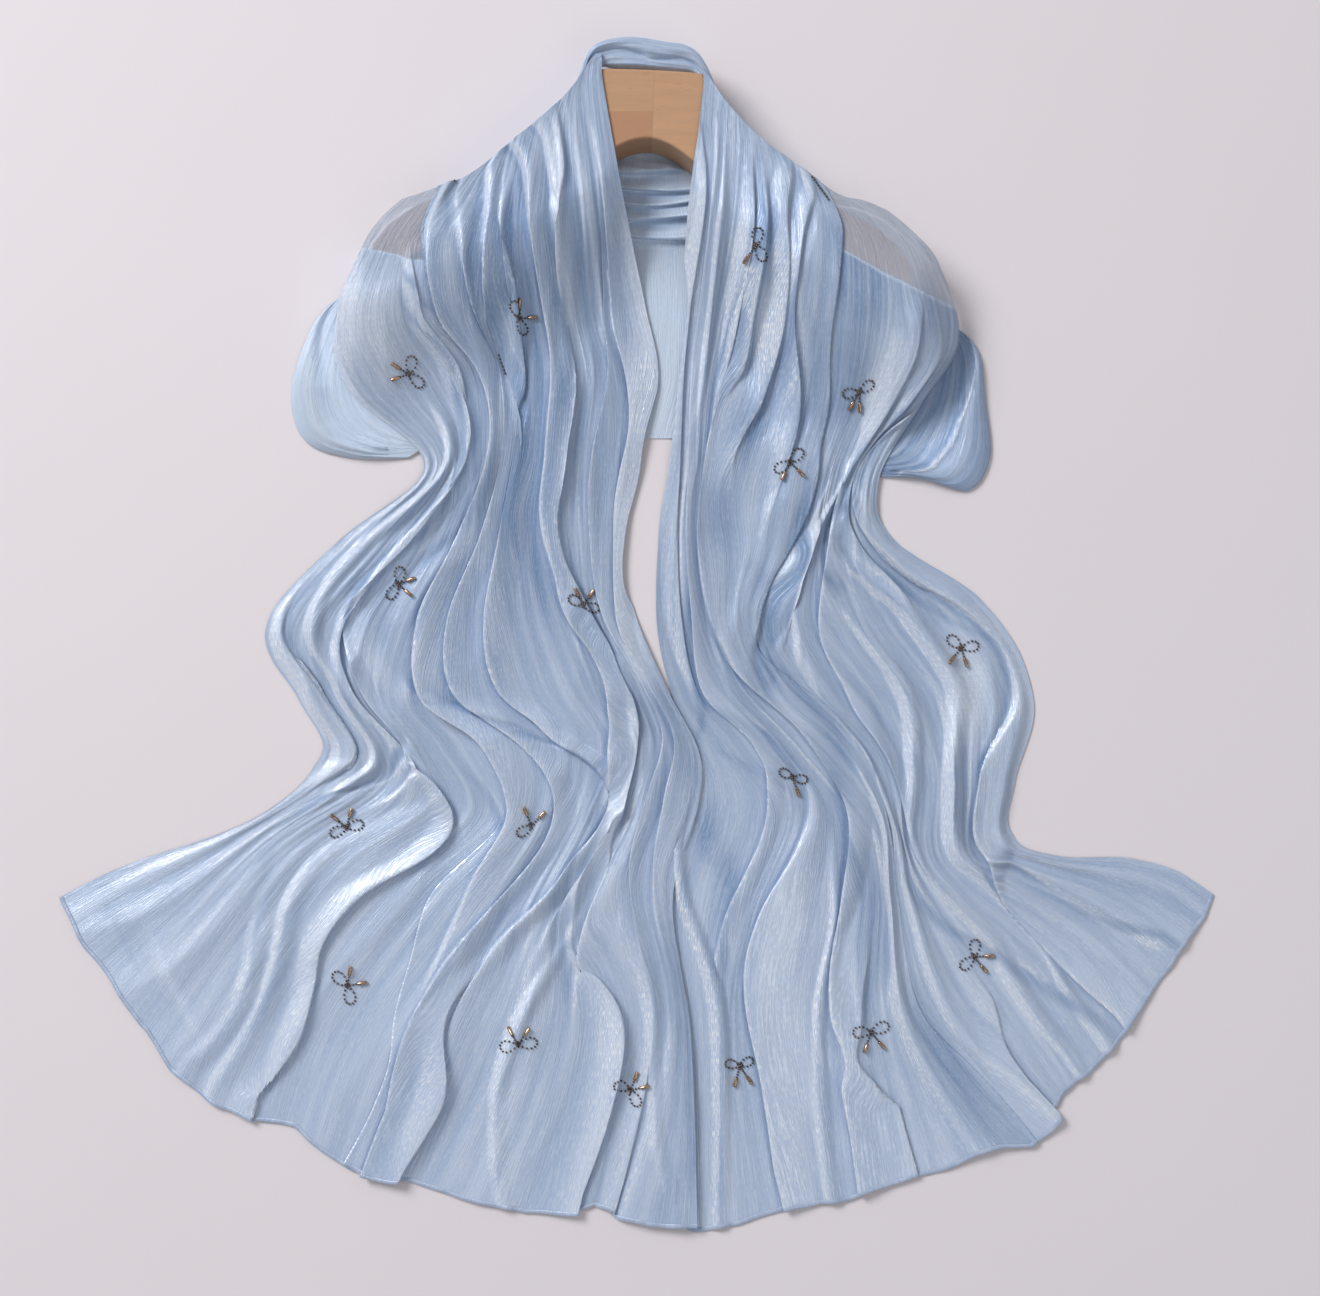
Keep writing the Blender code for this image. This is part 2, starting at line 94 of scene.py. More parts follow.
def placed_object(name, mesh, material, smooth_faces=True):
    """Puts a mesh with its material in the scene, where its points say."""
    if smooth_faces:
        mesh.polygons.foreach_set("use_smooth", np.ones(len(mesh.polygons), bool))
    mesh.materials.append(material)
    thing = bpy.data.objects.new(name, mesh)
    scene.collection.objects.link(thing)
    return thing

# %% [markdown]
# ## The camera
# The scarf was seen from straight above, about 1.6 m away, so lines that are higher up look a
# little larger. A camera at that height, with the lens that shows 0.98 m of table across the
# picture, gives the same view.

# %% Camera straight above
CAMERA_HEIGHT = 1.6
TABLE_ACROSS = 0.9834
camera = bpy.data.objects.new("camera", bpy.data.cameras.new("camera"))
scene.collection.objects.link(camera)
camera.location = (0.01725, -0.00873, CAMERA_HEIGHT)
camera.data.sensor_width = 36.0
camera.data.lens = 36.0 * CAMERA_HEIGHT / TABLE_ACROSS
camera.data.clip_start = 0.05
scene.camera = camera
print("lens", round(camera.data.lens, 2), "mm")

# %% [markdown]
# ## Where the cloth goes
# Cloth that is gathered at the shoulders and let out at the hem runs in long curved lines. The
# plan of each front is a table: a row for each section from shoulder to hem, and in each row the
# x and y in millimetres of the lines that run down the cloth. These are the solid model's own
# tables, so the thin cloth lies where the solid cloth does.

# %% Plan of the two fronts
LEFT_LINES = {"inner": 0.0, "band": 0.10, "bright": 0.21, "shade": 0.35, "slit": 0.46, "crease": 0.59,
              "cape": 0.77, "outer": 1.0}
LEFT_PLAN = (
    ((-24, 412), (-27, 423), (-44, 401), (-62, 383), (-84, 365), (-113, 340), (-136, 329), (-171, 316)),
    ((-22, 393), (-35, 396), (-50, 371), (-69, 352), (-91, 335), (-136, 310), (-158, 305), (-186, 301)),
    ((-8, 316), (-25, 312), (-47, 305), (-71, 297), (-98, 289), (-150, 281), (-173, 278), (-201, 275)),
    ((7, 245), (-18, 238), (-41, 236), (-64, 235), (-96, 233), (-144, 232), (-182, 226), (-224, 223)),
    ((17, 191), (-8, 191), (-31, 191), (-60, 189), (-90, 189), (-117, 194), (-161, 182), (-212, 179)),
    ((7, 129), (-12, 129), (-37, 131), (-65, 132), (-89, 135), (-111, 138), (-134, 129), (-156, 123)),
    ((-3, 77), (-17, 77), (-38, 77), (-71, 77), (-98, 73), (-125, 71), (-171, 65), (-216, 68)),
    ((-2, 21), (-14, 13), (-32, 16), (-59, 16), (-103, 13), (-153, 8), (-212, 6), (-274, 6)),
    ((24, -42), (12, -42), (-9, -42), (-37, -42), (-92, -42), (-162, -48), (-212, -42), (-249, -48)),
    ((47, -88), (28, -83), (5, -83), (-17, -83), (-63, -83), (-136, -85), (-185, -88), (-231, -85)),
    ((47, -126), (22, -126), (-4, -130), (-32, -133), (-66, -138), (-116, -135), (-192, -118), (-246, -113)),
    ((28, -200), (6, -191), (-34, -213), (-67, -206), (-108, -206), (-175, -187), (-258, -164), (-297, -147)),
    ((41, -299), (23, -295), (-16, -295), (-101, -306), (-171, -303), (-241, -273), (-320, -243), (-376, -170)),
    ((46, -441), (-10, -431), (-43, -427), (-151, -413), (-211, -400), (-276, -359), (-361, -301), (-427, -196)),
)
RIGHT_LINES = {"inner": 0.0, "band": 0.06, "groove": 0.13, "bright": 0.24, "edge": 0.42, "crease": 0.62,
               "cape": 0.80, "outer": 1.0}
RIGHT_PLAN = (
    ((49, 411), (54, 405), (65, 391), (85, 368), (125, 337), (148, 320), (165, 316), (184, 308)),
    ((49, 391), (53, 389), (63, 366), (89, 344), (142, 309), (165, 303), (184, 299), (203, 291)),
    ((39, 312), (50, 316), (60, 305), (85, 297), (147, 279), (180, 275), (202, 270), (223, 266)),
    ((34, 245), (46, 245), (54, 238), (70, 231), (146, 227), (182, 220), (211, 217), (240, 216)),
    ((29, 188), (39, 188), (48, 184), (60, 180), (144, 174), (168, 170), (189, 170), (213, 171)),
    ((23, 129), (33, 129), (42, 129), (55, 125), (129, 121), (148, 117), (164, 115), (181, 114)),
    ((17, 69), (27, 69), (38, 69), (52, 69), (117, 62), (140, 62), (163, 64), (192, 67)),
    ((16, 6), (27, 6), (43, 10), (59, 13), (96, 10), (148, 1), (197, 8), (260, 21)),
    ((27, -46), (41, -46), (59, -42), (81, -39), (115, -35), (185, -54), (237, -50), (293, -50)),
    ((42, -88), (70, -85), (96, -83), (119, -83), (163, -83), (206, -102), (245, -109), (280, -109)),
    ((40, -126), (96, -132), (120, -133), (156, -135), (189, -139), (207, -161), (245, -161), (276, -152)),
    ((21, -200), (72, -217), (93, -210), (164, -198), (194, -198), (230, -202), (271, -184), (316, -167)),
    ((34, -299), (64, -295), (84, -295), (155, -280), (215, -288), (279, -262), (334, -225), (375, -170)),
    ((39, -440), (69, -443), (110, -426), (171, -418), (285, -370), (329, -336), (383, -273), (429, -195)),
)

# %% [markdown]
# ## Where the pleats go
# Every pleat has a lean (which side it falls to), a half width and a height in millimetres, and
# a path: how far down the cloth, and how far across it, its crest runs. Placing the main pleats
# one by one keeps them uneven, as gathered chiffon is.

# %% Pleats of the two fronts
# Each row: lean, half width and height in mm, then the path as (how far down, how far across)
LEFT_PLEATS = {
    "band edge": (0.9, 9, 5, ((1.2, 0.124), (1.8, 0.102), (3.9, 0.098), (4.7, 0.076), (5.2, 0.092),
        (6.8, 0.094), (7.3, 0.114), (8.5, 0.09), (10, 0.104), (10.9, 0.078), (11.5, 0.082), (11.8, 0.072))),
    "inner crease": (0.9, 6, 3, ((1.5, 0.116), (2.2, 0.112), (5.6, 0.194), (6.7, 0.18), (7.9, 0.132),
        (8.3, 0.126), (10.2, 0.162), (11, 0.13), (11.7, 0.13), (12, 0.104))),
    "bright ridge": (-0.9, 7, 5, ((0, 0.306), (1, 0.222), (1.5, 0.206), (2.2, 0.24), (3.9, 0.274),
        (4.4, 0.258), (6.5, 0.264), (7.5, 0.182), (8.5, 0.202), (9.1, 0.238), (9.8, 0.24), (10.8, 0.192),
        (11, 0.204), (11.2, 0.232))),
    "pale pleat": (0.9, 8, 5, ((0.1, 0.422), (1.2, 0.328), (1.9, 0.292), (2.4, 0.308), (3.4, 0.298),
        (4.6, 0.312), (6.6, 0.314))),
    "pale skirt": (0.9, 9, 6, ((10.4, 0.218), (10.8, 0.218), (11.6, 0.272), (12, 0.272))),
    "dark edge pleat": (0.9, 9, 7, ((0, 0.508), (1.8, 0.39), (3.2, 0.36), (4.9, 0.36), (6.8, 0.334),
        (7.2, 0.318), (7.5, 0.288), (7.9, 0.286), (8.5, 0.332), (9.2, 0.36), (9.7, 0.33), (10.2, 0.274),
        (10.5, 0.278), (10.8, 0.312), (11.4, 0.356))),
    "mid pleat": (-0.9, 7, 4, ((1.5, 0.458), (2, 0.438), (3.5, 0.43), (6.4, 0.442))),
    "slit pleat": (0.9, 8, 7, ((0.4, 0.54), (1.5, 0.502), (3.5, 0.494), (4.7, 0.472), (8.5, 0.466),
        (9, 0.446), (9.3, 0.396), (10.2, 0.306), (10.5, 0.338), (10.8, 0.358), (11.2, 0.414),
        (11.6, 0.428), (12.1, 0.416))),
    "second slit": (0.9, 6, 5, ((0.8, 0.49), (3.7, 0.43))),
    "outer pleat": (0.9, 7, 5, ((0, 0.694), (1.2, 0.568), (2.9, 0.518), (3.5, 0.508), (5, 0.512),
        (6.4, 0.552), (8.7, 0.514), (10.3, 0.44), (11.4, 0.472), (12.5, 0.446))),
    "edge pleat": (0.9, 9, 6, ((0, 0.81), (1, 0.69), (1.8, 0.612), (2.6, 0.59), (3.8, 0.592),
        (4.7, 0.568), (5, 0.572), (5.9, 0.62), (6.4, 0.624), (7.9, 0.588), (9, 0.548), (9.8, 0.542),
        (11.7, 0.478))),
    "skirt satin": (-0.9, 10, 6, ((11.3, 0.372), (11.5, 0.408), (12.5, 0.384), (12.9, 0.394))),
    "skirt pleat": (0, 9, 4, ((10.9, 0.216), (11.4, 0.302), (13, 0.278))),
    "curl ridge": (-0.9, 10, 7, ((11.2, 0.25), (11.6, 0.21), (12.6, 0.198), (12.9, 0.208))),
    "last pleat": (-0.9, 8, 5, ((12.1, 0.124), (13, 0.114))),
    "soft rib": (0, 8, 3, ((11.5, 0.138), (12.1, 0.128), (12.9, 0.022))),
}
LEFT_SIDE_PLEATS = {
    "fan one": (-0.9, 7, 5, ((2, 0.632), (2.7, 0.618), (4, 0.636), (4.9, 0.63), (5.5, 0.696), (6.5, 0.77),
        (9.6, 0.672), (10.7, 0.596), (11.3, 0.626), (11.6, 0.622), (11.9, 0.596), (12.3, 0.58),
        (12.8, 0.604))),
    "fan two": (0.9, 8, 6, ((2.4, 0.72), (3.1, 0.664), (4.4, 0.692), (4.9, 0.718), (5.8, 0.8),
        (6.3, 0.815), (6.8, 0.8), (7.4, 0.765), (8.2, 0.728), (8.6, 0.714), (9.6, 0.73), (10.3, 0.76))),
    "fan three": (0, 8, 4, ((4, 0.748), (4.6, 0.764), (4.9, 0.796), (5.5, 0.875), (6.2, 0.905),
        (6.8, 0.88), (7.4, 0.84), (8.2, 0.8), (9, 0.8), (9.9, 0.845), (10.6, 0.862), (11, 0.834))),
    "wing one": (-0.9, 8, 5, ((6.2, 0.965), (7, 0.94), (8, 0.88), (8.5, 0.87), (9, 0.872), (9.5, 0.888),
        (10.3, 0.93))),
    "wing two": (0, 12, 4, ((10.8, 0.748), (11.3, 0.746), (12.2, 0.678), (12.8, 0.702))),
    "wing three": (0, 12, 4, ((10.6, 0.706), (11.1, 0.716), (11.3, 0.708), (11.8, 0.662), (12.1, 0.648),
        (12.8, 0.658))),
}
RIGHT_PLEATS = {
    "band groove": (0.9, 6, 3, ((1, 0), (1.4, 0.054), (3.1, 0.032), (6.8, 0.092), (8.4, 0.084))),
    "bright groove": (-0.9, 7, 4, ((0.9, 0.1), (1.4, 0.102), (3.6, 0.068), (5.5, 0.122), (6.7, 0.132),
        (8, 0.096), (9.3, 0.098), (9.7, 0.072), (10.4, 0.06), (11.8, 0.05), (12.1, 0.06))),
    "ridge pleat": (-0.9, 9, 7, ((1.6, 0.226), (4.3, 0.234), (5.9, 0.208), (7.3, 0.214), (7.7, 0.232),
        (8.4, 0.286), (9.3, 0.28), (10.3, 0.234), (12.7, 0.232))),
    "front crease": (0, 6, 3, ((0.9, 0.152), (4.1, 0.148), (5.4, 0.164), (5.9, 0.15))),
    "slit one": (0.9, 7, 6, ((1, 0.24), (5.2, 0.29))),
    "slit two": (0.9, 7, 6, ((1, 0.274), (4.6, 0.3))),
    "third pleat": (0.9, 8, 5, ((0.1, 0.374), (1.6, 0.32), (2.8, 0.336), (4.9, 0.32), (5.4, 0.334))),
    "fourth pleat": (0.9, 7, 4, ((0.2, 0.43), (1.7, 0.356), (5, 0.376), (5.7, 0.368))),
    "skirt one": (-0.9, 9, 6, ((9.8, 0.136), (10.5, 0.144), (11.3, 0.118), (12.4, 0.138), (12.8, 0.13))),
    "skirt two": (0, 9, 4, ((10.2, 0.206), (11.7, 0.214), (12.8, 0.198))),
    "skirt three": (0.9, 9, 4, ((11.5, 0.306), (12, 0.272), (12.4, 0.266), (12.6, 0.3))),
    "inner swell": (0, 9, 5, ((9.2, 0.004), (10.4, 0), (12.2, 0.06), (12.9, 0.05))),
}
RIGHT_SIDE_PLEATS = {
    "waist pleat": (0.9, 9, 4.5, ((2.5, 0.844), (2.9, 0.798), (4, 0.81), (4.5, 0.788), (5.6, 0.612),
        (5.9, 0.542), (6.3, 0.51), (6.6, 0.516), (7.1, 0.5), (7.6, 0.454))),
    "waist second": (-0.9, 7, 5, ((4.2, 0.786), (5.4, 0.674), (5.8, 0.656), (6.5, 0.604), (7.7, 0.554),
        (9.2, 0.538), (9.9, 0.606), (11.6, 0.644))),
    "fall pleat": (0.9, 9, 5, ((2.8, 0.924), (3.6, 0.93), (4.1, 0.914), (4.5, 0.832), (5.3, 0.778),
        (5.6, 0.79), (6, 0.834), (6.4, 0.862), (6.6, 0.866), (7.3, 0.834))),
    "wing one": (-0.9, 10, 6, ((3.2, 1), (4, 1), (4.4, 0.878), (4.8, 0.798), (6.1, 0.898), (6.5, 0.902),
        (7.4, 0.958), (7.7, 0.954), (9, 0.856), (9.5, 0.844), (10.2, 0.862), (11.5, 0.732), (11.9, 0.722),
        (12.8, 0.74))),
    "wing two": (0, 10, 5, ((5.8, 0.654), (6.2, 0.746), (6.5, 0.796), (6.8, 0.824), (7.2, 0.83),
        (7.6, 0.826), (9.1, 0.758), (10.4, 0.79), (11.7, 0.726), (12.4, 0.702), (12.8, 0.706))),
    "wing three": (0, 9, 5, ((6.3, 0.606), (6.6, 0.662), (7, 0.694), (7.4, 0.7), (8.3, 0.666), (9, 0.624),
        (9.5, 0.61), (10, 0.642), (10.7, 0.652), (11.6, 0.652), (11.9, 0.636), (12.5, 0.632),
        (12.8, 0.638))),
    "rim": (0, 8, 5, ((8, 0.944), (8.5, 0.954), (9.1, 0.944), (9.6, 0.97))),
    "wing rim": (0, 11, 4, ((11, 0.89), (11.5, 0.864), (11.9, 0.864), (12.9, 0.902))),
    "skirt four": (0.9, 9, 5, ((11.8, 0.588), (12, 0.584), (12.5, 0.532), (12.7, 0.522))),
}
# Outer edge of the gathered front: how far down, how far across
LEFT_EDGE = ((0, 0.81), (1, 0.69), (1.8, 0.612), (2.6, 0.59), (3.8, 0.592), (4.7, 0.568), (5, 0.572),
             (5.9, 0.62), (6.4, 0.624), (7.9, 0.588), (9, 0.548), (9.8, 0.542), (10.6, 0.545),
             (11.1, 0.54), (11.5, 0.51), (11.8, 0.49), (12.2, 0.463), (12.5, 0.46), (13, 0.472))
RIGHT_EDGE = ((0, 0.47), (0.6, 0.45), (1.5, 0.44), (2.5, 0.42), (3.6, 0.41), (4.2, 0.42), (4.7, 0.43),
              (5.1, 0.45), (5.5, 0.44), (5.8, 0.42), (6.2, 0.4), (7, 0.4), (7.5, 0.37), (8, 0.42),
              (8.3, 0.455), (8.8, 0.44), (9.2, 0.44), (9.6, 0.42), (10.1, 0.4), (10.7, 0.42),
              (11.4, 0.42), (12, 0.42), (12.4, 0.44), (13, 0.43))
# How far the hem and the outer edge stand past their smooth lines: place, mm outwards
LEFT_HEM = ((0, 1), (0.06, 7), (0.12, 4), (0.18, -1.5), (0.22, 4), (0.26, 11.5), (0.32, 5.5), (0.38, -2),
            (0.44, 1.5), (0.5, -2), (0.55, -4.5), (0.6, 8), (0.65, 13), (0.72, 10), (0.78, 0), (0.86, -3),
            (0.94, 3.5), (1, 2))
RIGHT_HEM = ((0, 4), (0.06, 0), (0.16, 5), (0.26, -0.5), (0.36, 3.5), (0.39, 7), (0.42, 16), (0.48, 11),
             (0.52, -1), (0.58, -2), (0.7, 1.5), (0.86, -2), (0.96, 4), (1, 2))
LEFT_OUT = ((0, 1), (0.5, 2), (1.5, 4.5), (2.5, 4.5), (2.9, 0), (4.8, 0), (5.5, 4.5), (6.2, 5), (7, 0.5),
            (7.5, 3), (9, 1.5), (9.5, 5), (10, 3.5), (11, 3), (12, -2), (13, 0))
RIGHT_OUT = ((0, 0), (1, 4.5), (1.5, 5), (2.5, 3.5), (2.9, 0.5), (5.5, 0), (6.2, 4), (7, 0.5), (7.5, 4),
             (8.5, 3), (9.5, 3), (10, 5.5), (10.5, 2), (12, 1), (12.5, 3.5), (13, 1))
print(sum(len(t) for t in (LEFT_PLEATS, LEFT_SIDE_PLEATS, RIGHT_PLEATS, RIGHT_SIDE_PLEATS)), "main pleats")

# %% [markdown]
# ## Where the cloth is deeper or paler
# Sheer cloth is deeper in colour where a pleat has folded over and several layers lie on each
# other, and paler where one layer is drawn tight. These broad bands are given one by one as well.
# Besides layers, the deep bands are painted shade and the pale bands a painted highlight: the pale ones also
# raise the painted highlight of the shine lines.

# %% Deep and pale bands
# Each row: depth (more layers and painted shade, or fewer layers and painted highlight), half width in mm, then
# the path
LEFT_TONES = (
    (1.3, 16, ((12.4, 0.99), (12.6, 0.87))),
    (0.2, 14, ((6.3, 0.41), (6.8, 0.41), (7.3, 0.42))),
    (-0.7, 14, ((12.2, 0.89), (12.6, 0.7))),
    (-1.4, 8, ((1, 0.29), (1.9, 0.26), (2.8, 0.27))),
    (-1.1, 16, ((2.5, 0.81), (3, 0.81), (3.7, 0.84))),
    (1.5, 13, ((1.4, 0.44), (2.1, 0.43), (2.8, 0.42), (3.7, 0.41), (4.8, 0.42), (5.6, 0.42), (6.4, 0.38),
        (7.1, 0.38))),
    (0.9, 9, ((1.8, 0.19), (2.5, 0.19), (3.4, 0.19), (4.2, 0.21), (4.9, 0.24), (5.9, 0.23))),
    (3, 3.2, ((0.7, 0.532), (1.72, 0.506), (2.54, 0.502))),
    (2, 4, ((1.72, 0.474), (2.42, 0.46), (3.26, 0.482), (3.8, 0.476), (4.32, 0.446))),
    (1.6, 4, ((2.22, 0.72), (2.92, 0.59), (3.84, 0.592), (4.48, 0.576), (4.92, 0.57))),
    (1.4, 12, ((5.3, 0.56), (5.9, 0.61), (6.2, 0.68), (6.7, 0.72), (7.2, 0.68))),
    (2.6, 6, ((6.6, 0.62), (7.22, 0.6), (7.88, 0.59), (8.14, 0.558))),
    (1.2, 5, ((6.36, 0.836), (6.92, 0.786), (7.52, 0.774))),
    (1.8, 6, ((7.9, 0.552), (8.56, 0.504), (8.94, 0.466), (9.16, 0.406), (9.84, 0.352), (10.42, 0.316))),
    (1.6, 5, ((8.72, 0.682), (9.3, 0.76), (9.9, 0.806), (10.22, 0.866), (10.7, 0.858))),
    (1.3, 4, ((9.42, 0.588), (9.78, 0.572), (10.34, 0.526))),
    (1.2, 10, ((8, 0.08), (8.8, 0.08), (9.5, 0.03), (10, 0))),
    (0.8, 9, ((6.4, 0.3), (6.9, 0.26), (7.5, 0.19), (8.3, 0.16), (9.3, 0.15))),
    (0.6, 12, ((10.3, 0.4), (10.9, 0.42), (11.4, 0.45), (11.8, 0.44), (12.3, 0.44), (12.8, 0.43))),
    (1.2, 6, ((10.32, 0.306), (10.88, 0.312), (11.36, 0.288), (11.8, 0.264))),
    (1.5, 13, ((11.3, 0.03), (11.7, 0.02), (12.1, 0), (12.4, 0), (12.7, 0.01), (12.9, 0.04))),
    (0.7, 8, ((11, 0.82), (11.4, 0.75), (11.8, 0.72), (12.2, 0.7))),
    (0.7, 8, ((11.1, 0.67), (11.5, 0.68), (11.8, 0.65), (12.5, 0.64))),
    (0.8, 8, ((10.5, 0.58), (11.1, 0.55), (11.5, 0.55), (11.9, 0.54), (12.3, 0.54))),
    (-1.3, 6, ((0.56, 0.31), (1.8, 0.254), (2.38, 0.248), (3.22, 0.25))),
    (-1, 20, ((2.4, 0.9), (3.2, 0.82), (4.1, 0.87))),
    (-0.8, 26, ((12.3, 0.89), (12.6, 0.7))),
    (-1.4, 5, ((0, 0.282), (1.42, 0.178), (1.92, 0.146), (2.42, 0.154))),
    (-1.9, 13, ((2, 0), (3, 0), (4.1, 0.03), (5, 0.02), (6.3, 0.03), (7.1, 0.05), (8, 0.11))),
    (-0.8, 5, ((1.3, 0.464), (2.12, 0.452), (2.76, 0.442))),
    (-1.4, 5, ((1.6, 0.762), (2.7, 0.612), (3.72, 0.6), (4.4, 0.54), (4.96, 0.528), (5.32, 0.552))),
    (-1, 6, ((2.8, 0.368), (3.88, 0.356), (4.8, 0.312), (5.88, 0.286))),
    (-1.2, 12, ((7.2, 0.73), (7.7, 0.67), (8, 0.63))),
    (-0.9, 9, ((5.6, 0.53), (6.1, 0.55), (6.4, 0.62))),
    (-0.8, 11, ((7.7, 0.13), (8.5, 0.15), (9.3, 0.18))),
    (-0.7, 12, ((9.1, 0.84), (9.6, 0.94), (10.1, 0.99))),
)
RIGHT_TONES = (
    (0.2, 14, ((5.7, 0.31), (6.2, 0.32), (6.8, 0.34))),
    (2.4, 14, ((10.1, 0.01), (10.5, 0.03), (10.8, 0.06))),
    (1.6, 11, ((6.3, 0.36), (6.7, 0.42), (7.3, 0.44))),
    (-0.8, 14, ((7.5, 0.93), (8, 0.84), (8.6, 0.8))),
    (-1.5, 12, ((2.3, 0.24), (2.7, 0.28), (3.3, 0.31))),
    (1.2, 10, ((4.7, 0.59), (5, 0.73), (5.6, 0.79))),
    (0.7, 14, ((1.1, 0.21), (1.8, 0.25), (2.6, 0.3))),
    (3, 4, ((0.76, 0.24), (1.64, 0.246), (2.2, 0.264))),
    (1, 8, ((0, 0.33), (1, 0.35), (1.7, 0.37))),
    (1.5, 6, ((2.58, 0.332), (3.36, 0.336), (4.16, 0.33), (4.9, 0.326))),
    (2.4, 19, ((1.4, 0.49), (2.6, 0.49), (3.7, 0.48), (4.6, 0.5))),
    (1.5, 6, ((3.04, 1), (3.68, 0.962), (4.18, 0.878), (4.7, 0.862), (5.16, 0.864))),
    (1.3, 17, ((5.1, 0.27), (5.7, 0.29), (6.3, 0.26))),
    (2.8, 7, ((5, 0.51), (5.7, 0.43), (6.3, 0.43), (6.9, 0.45), (7.7, 0.37), (8.3, 0.33))),
    (2, 4.5, ((5.4, 0.724), (5.88, 0.636), (6.28, 0.652), (6.6, 0.716))),
    (2, 4, ((6.74, 0.128), (7.4, 0.112), (8.1, 0.078), (8.88, 0.006))),
    (2, 4, ((6.08, 0.23), (6.8, 0.242), (7.42, 0.262), (7.86, 0.284))),
    (1.5, 7, ((8, 0.08), (8.6, 0.13), (9.2, 0.17), (9.7, 0.15), (10.4, 0.17))),
    (1.8, 10, ((7.6, 0.4), (8.1, 0.42), (8.6, 0.4), (9.3, 0.34), (9.9, 0.26), (10.6, 0.23))),
    (1.5, 5, ((5.9, 0.778), (6.38, 0.856), (6.82, 0.886), (7.2, 0.922), (7.42, 0.972))),
    (1.6, 6, ((9.06, 0.044), (9.32, 0.062), (9.66, 0.06))),
    (0.8, 8, ((7.7, 0.58), (8.4, 0.58), (9.2, 0.55), (9.9, 0.58))),
    (1.3, 6, ((8.48, 0.866), (9.26, 0.88), (10.14, 0.846))),
    (1.5, 13, ((10.3, 0.25), (11, 0.28), (11.6, 0.31), (12, 0.28))),
    (1.5, 6, ((10.52, 0.484), (11.08, 0.544), (11.5, 0.614), (12.12, 0.666), (12.8, 0.722))),
    (2.8, 13, ((11.8, 0.42), (12.2, 0.41), (12.6, 0.4), (13, 0.4))),
    (1.2, 5, ((10.56, 0.91), (11.44, 0.844), (12.04, 0.848), (12.7, 0.894))),
    (0.6, 16, ((11.2, 0.95), (12, 0.94), (12.8, 0.97))),
    (1, 5, ((10.86, 0.062), (11.24, 0.058), (11.76, 0.082))),
    (-1, 10, ((1.6, 0.03), (3, 0.04), (4.5, 0.08), (5.8, 0.11), (6.8, 0.09))),
    (-0.6, 4, ((1.26, 0.3), (2.22, 0.322), (2.94, 0.364), (3.92, 0.376))),
    (-0.9, 5, ((4.52, 0.306), (5.24, 0.304))),
    (-1.2, 5, ((4.92, 0.71), (5.32, 0.886), (5.8, 0.962))),
    (-1.4, 3, ((6.28, 0.448), (6.92, 0.512), (7.66, 0.478))),
    (-0.5, 15, ((10.7, 0.16), (11.7, 0.18), (12.4, 0.18), (12.7, 0.16))),
    (0.8, 14, ((9.8, 0.02), (10.5, 0.03), (11, 0.04))),
    (-1.4, 13, ((7.1, 0.91), (7.8, 0.86), (8.5, 0.82))),
    (1, 5, ((4.64, 0.746), (5.18, 0.778), (5.68, 0.74))),
)
print(len(LEFT_TONES) + len(RIGHT_TONES), "bands")

# %% [markdown]
# ## Reading the tables
# A smooth curve through the rows gives a point anywhere on the cloth. The height of the cloth is
# level on the hanger and slopes to the table below it.

# %% Smooth curves and the height of the cloth
HANGER_TILT = math.radians(-2.6)
TILT_COS, TILT_SIN = math.cos(HANGER_TILT), math.sin(HANGER_TILT)
HANGER_CENTRE = (12.0, 410.5)
HANGER_HALF = ((0.0, 50.0), (14.0, 53.0), (28.0, 61.0), (41.0, 71.0), (63.0, 86.0), (82.0, 98.0),
               (104.0, 110.0), (136.0, 128.0), (168.0, 144.0), (186.0, 155.0), (197.0, 158.0))
CLOTH_TOP = 36.2
SLOPE_REACH = 112.0
BACK_LIFT = 2.2
BACK_END = 145.0


def spline(knots, values, at):
    """Smooth curve through values (rows at the knots), read at any places."""
    knots = np.asarray(knots, float)
    values = np.asarray(values, float)
    step = np.diff(knots)
    slope = np.diff(values, axis=0) / step[:, None]
    lean = np.zeros_like(values)
    lean[1:-1] = (slope[:-1] * step[1:, None] + slope[1:] * step[:-1, None]) / (step[:-1] + step[1:])[:, None]
    lean[0] = 1.5 * slope[0] - 0.5 * lean[1]
    lean[-1] = 1.5 * slope[-1] - 0.5 * lean[-2]
    at = np.asarray(at, float)
    i = np.clip(np.searchsorted(knots, at, side="right") - 1, 0, len(knots) - 2)
    h = step[i][:, None]
    s = ((at - knots[i])[:, None]) / h
    return ((2 * s**3 - 3 * s**2 + 1) * values[i] + (s**3 - 2 * s**2 + s) * h * lean[i]
            + (3 * s**2 - 2 * s**3) * values[i + 1] + (s**3 - s**2) * h * lean[i + 1])


def section_rows(plan, down):
    """The plan's points on each of its lines, for every value of down."""
    table = np.asarray(plan, float)
    return np.stack([spline(np.arange(len(table)), table[:, k], down) for k in range(table.shape[1])], axis=1)


def plan_points(plan, lines, across, down):
    """Plan x, y in mm of a front: across has a row of values for each value of down."""
    knots = list(lines.values())
    rows = section_rows(plan, down)
    return np.stack([spline(knots, rows[r], across[r]) for r in range(len(down))])


def past_hanger(x, y):
    """How far a point lies along the hanger's arm, and how far below the arm's lower edge, in mm."""
    dx, dy = x - HANGER_CENTRE[0], y - HANGER_CENTRE[1]
    reach, drop = np.abs(dx * TILT_COS + dy * TILT_SIN), dx * TILT_SIN - dy * TILT_COS
    return reach, drop - read(HANGER_HALF, reach)


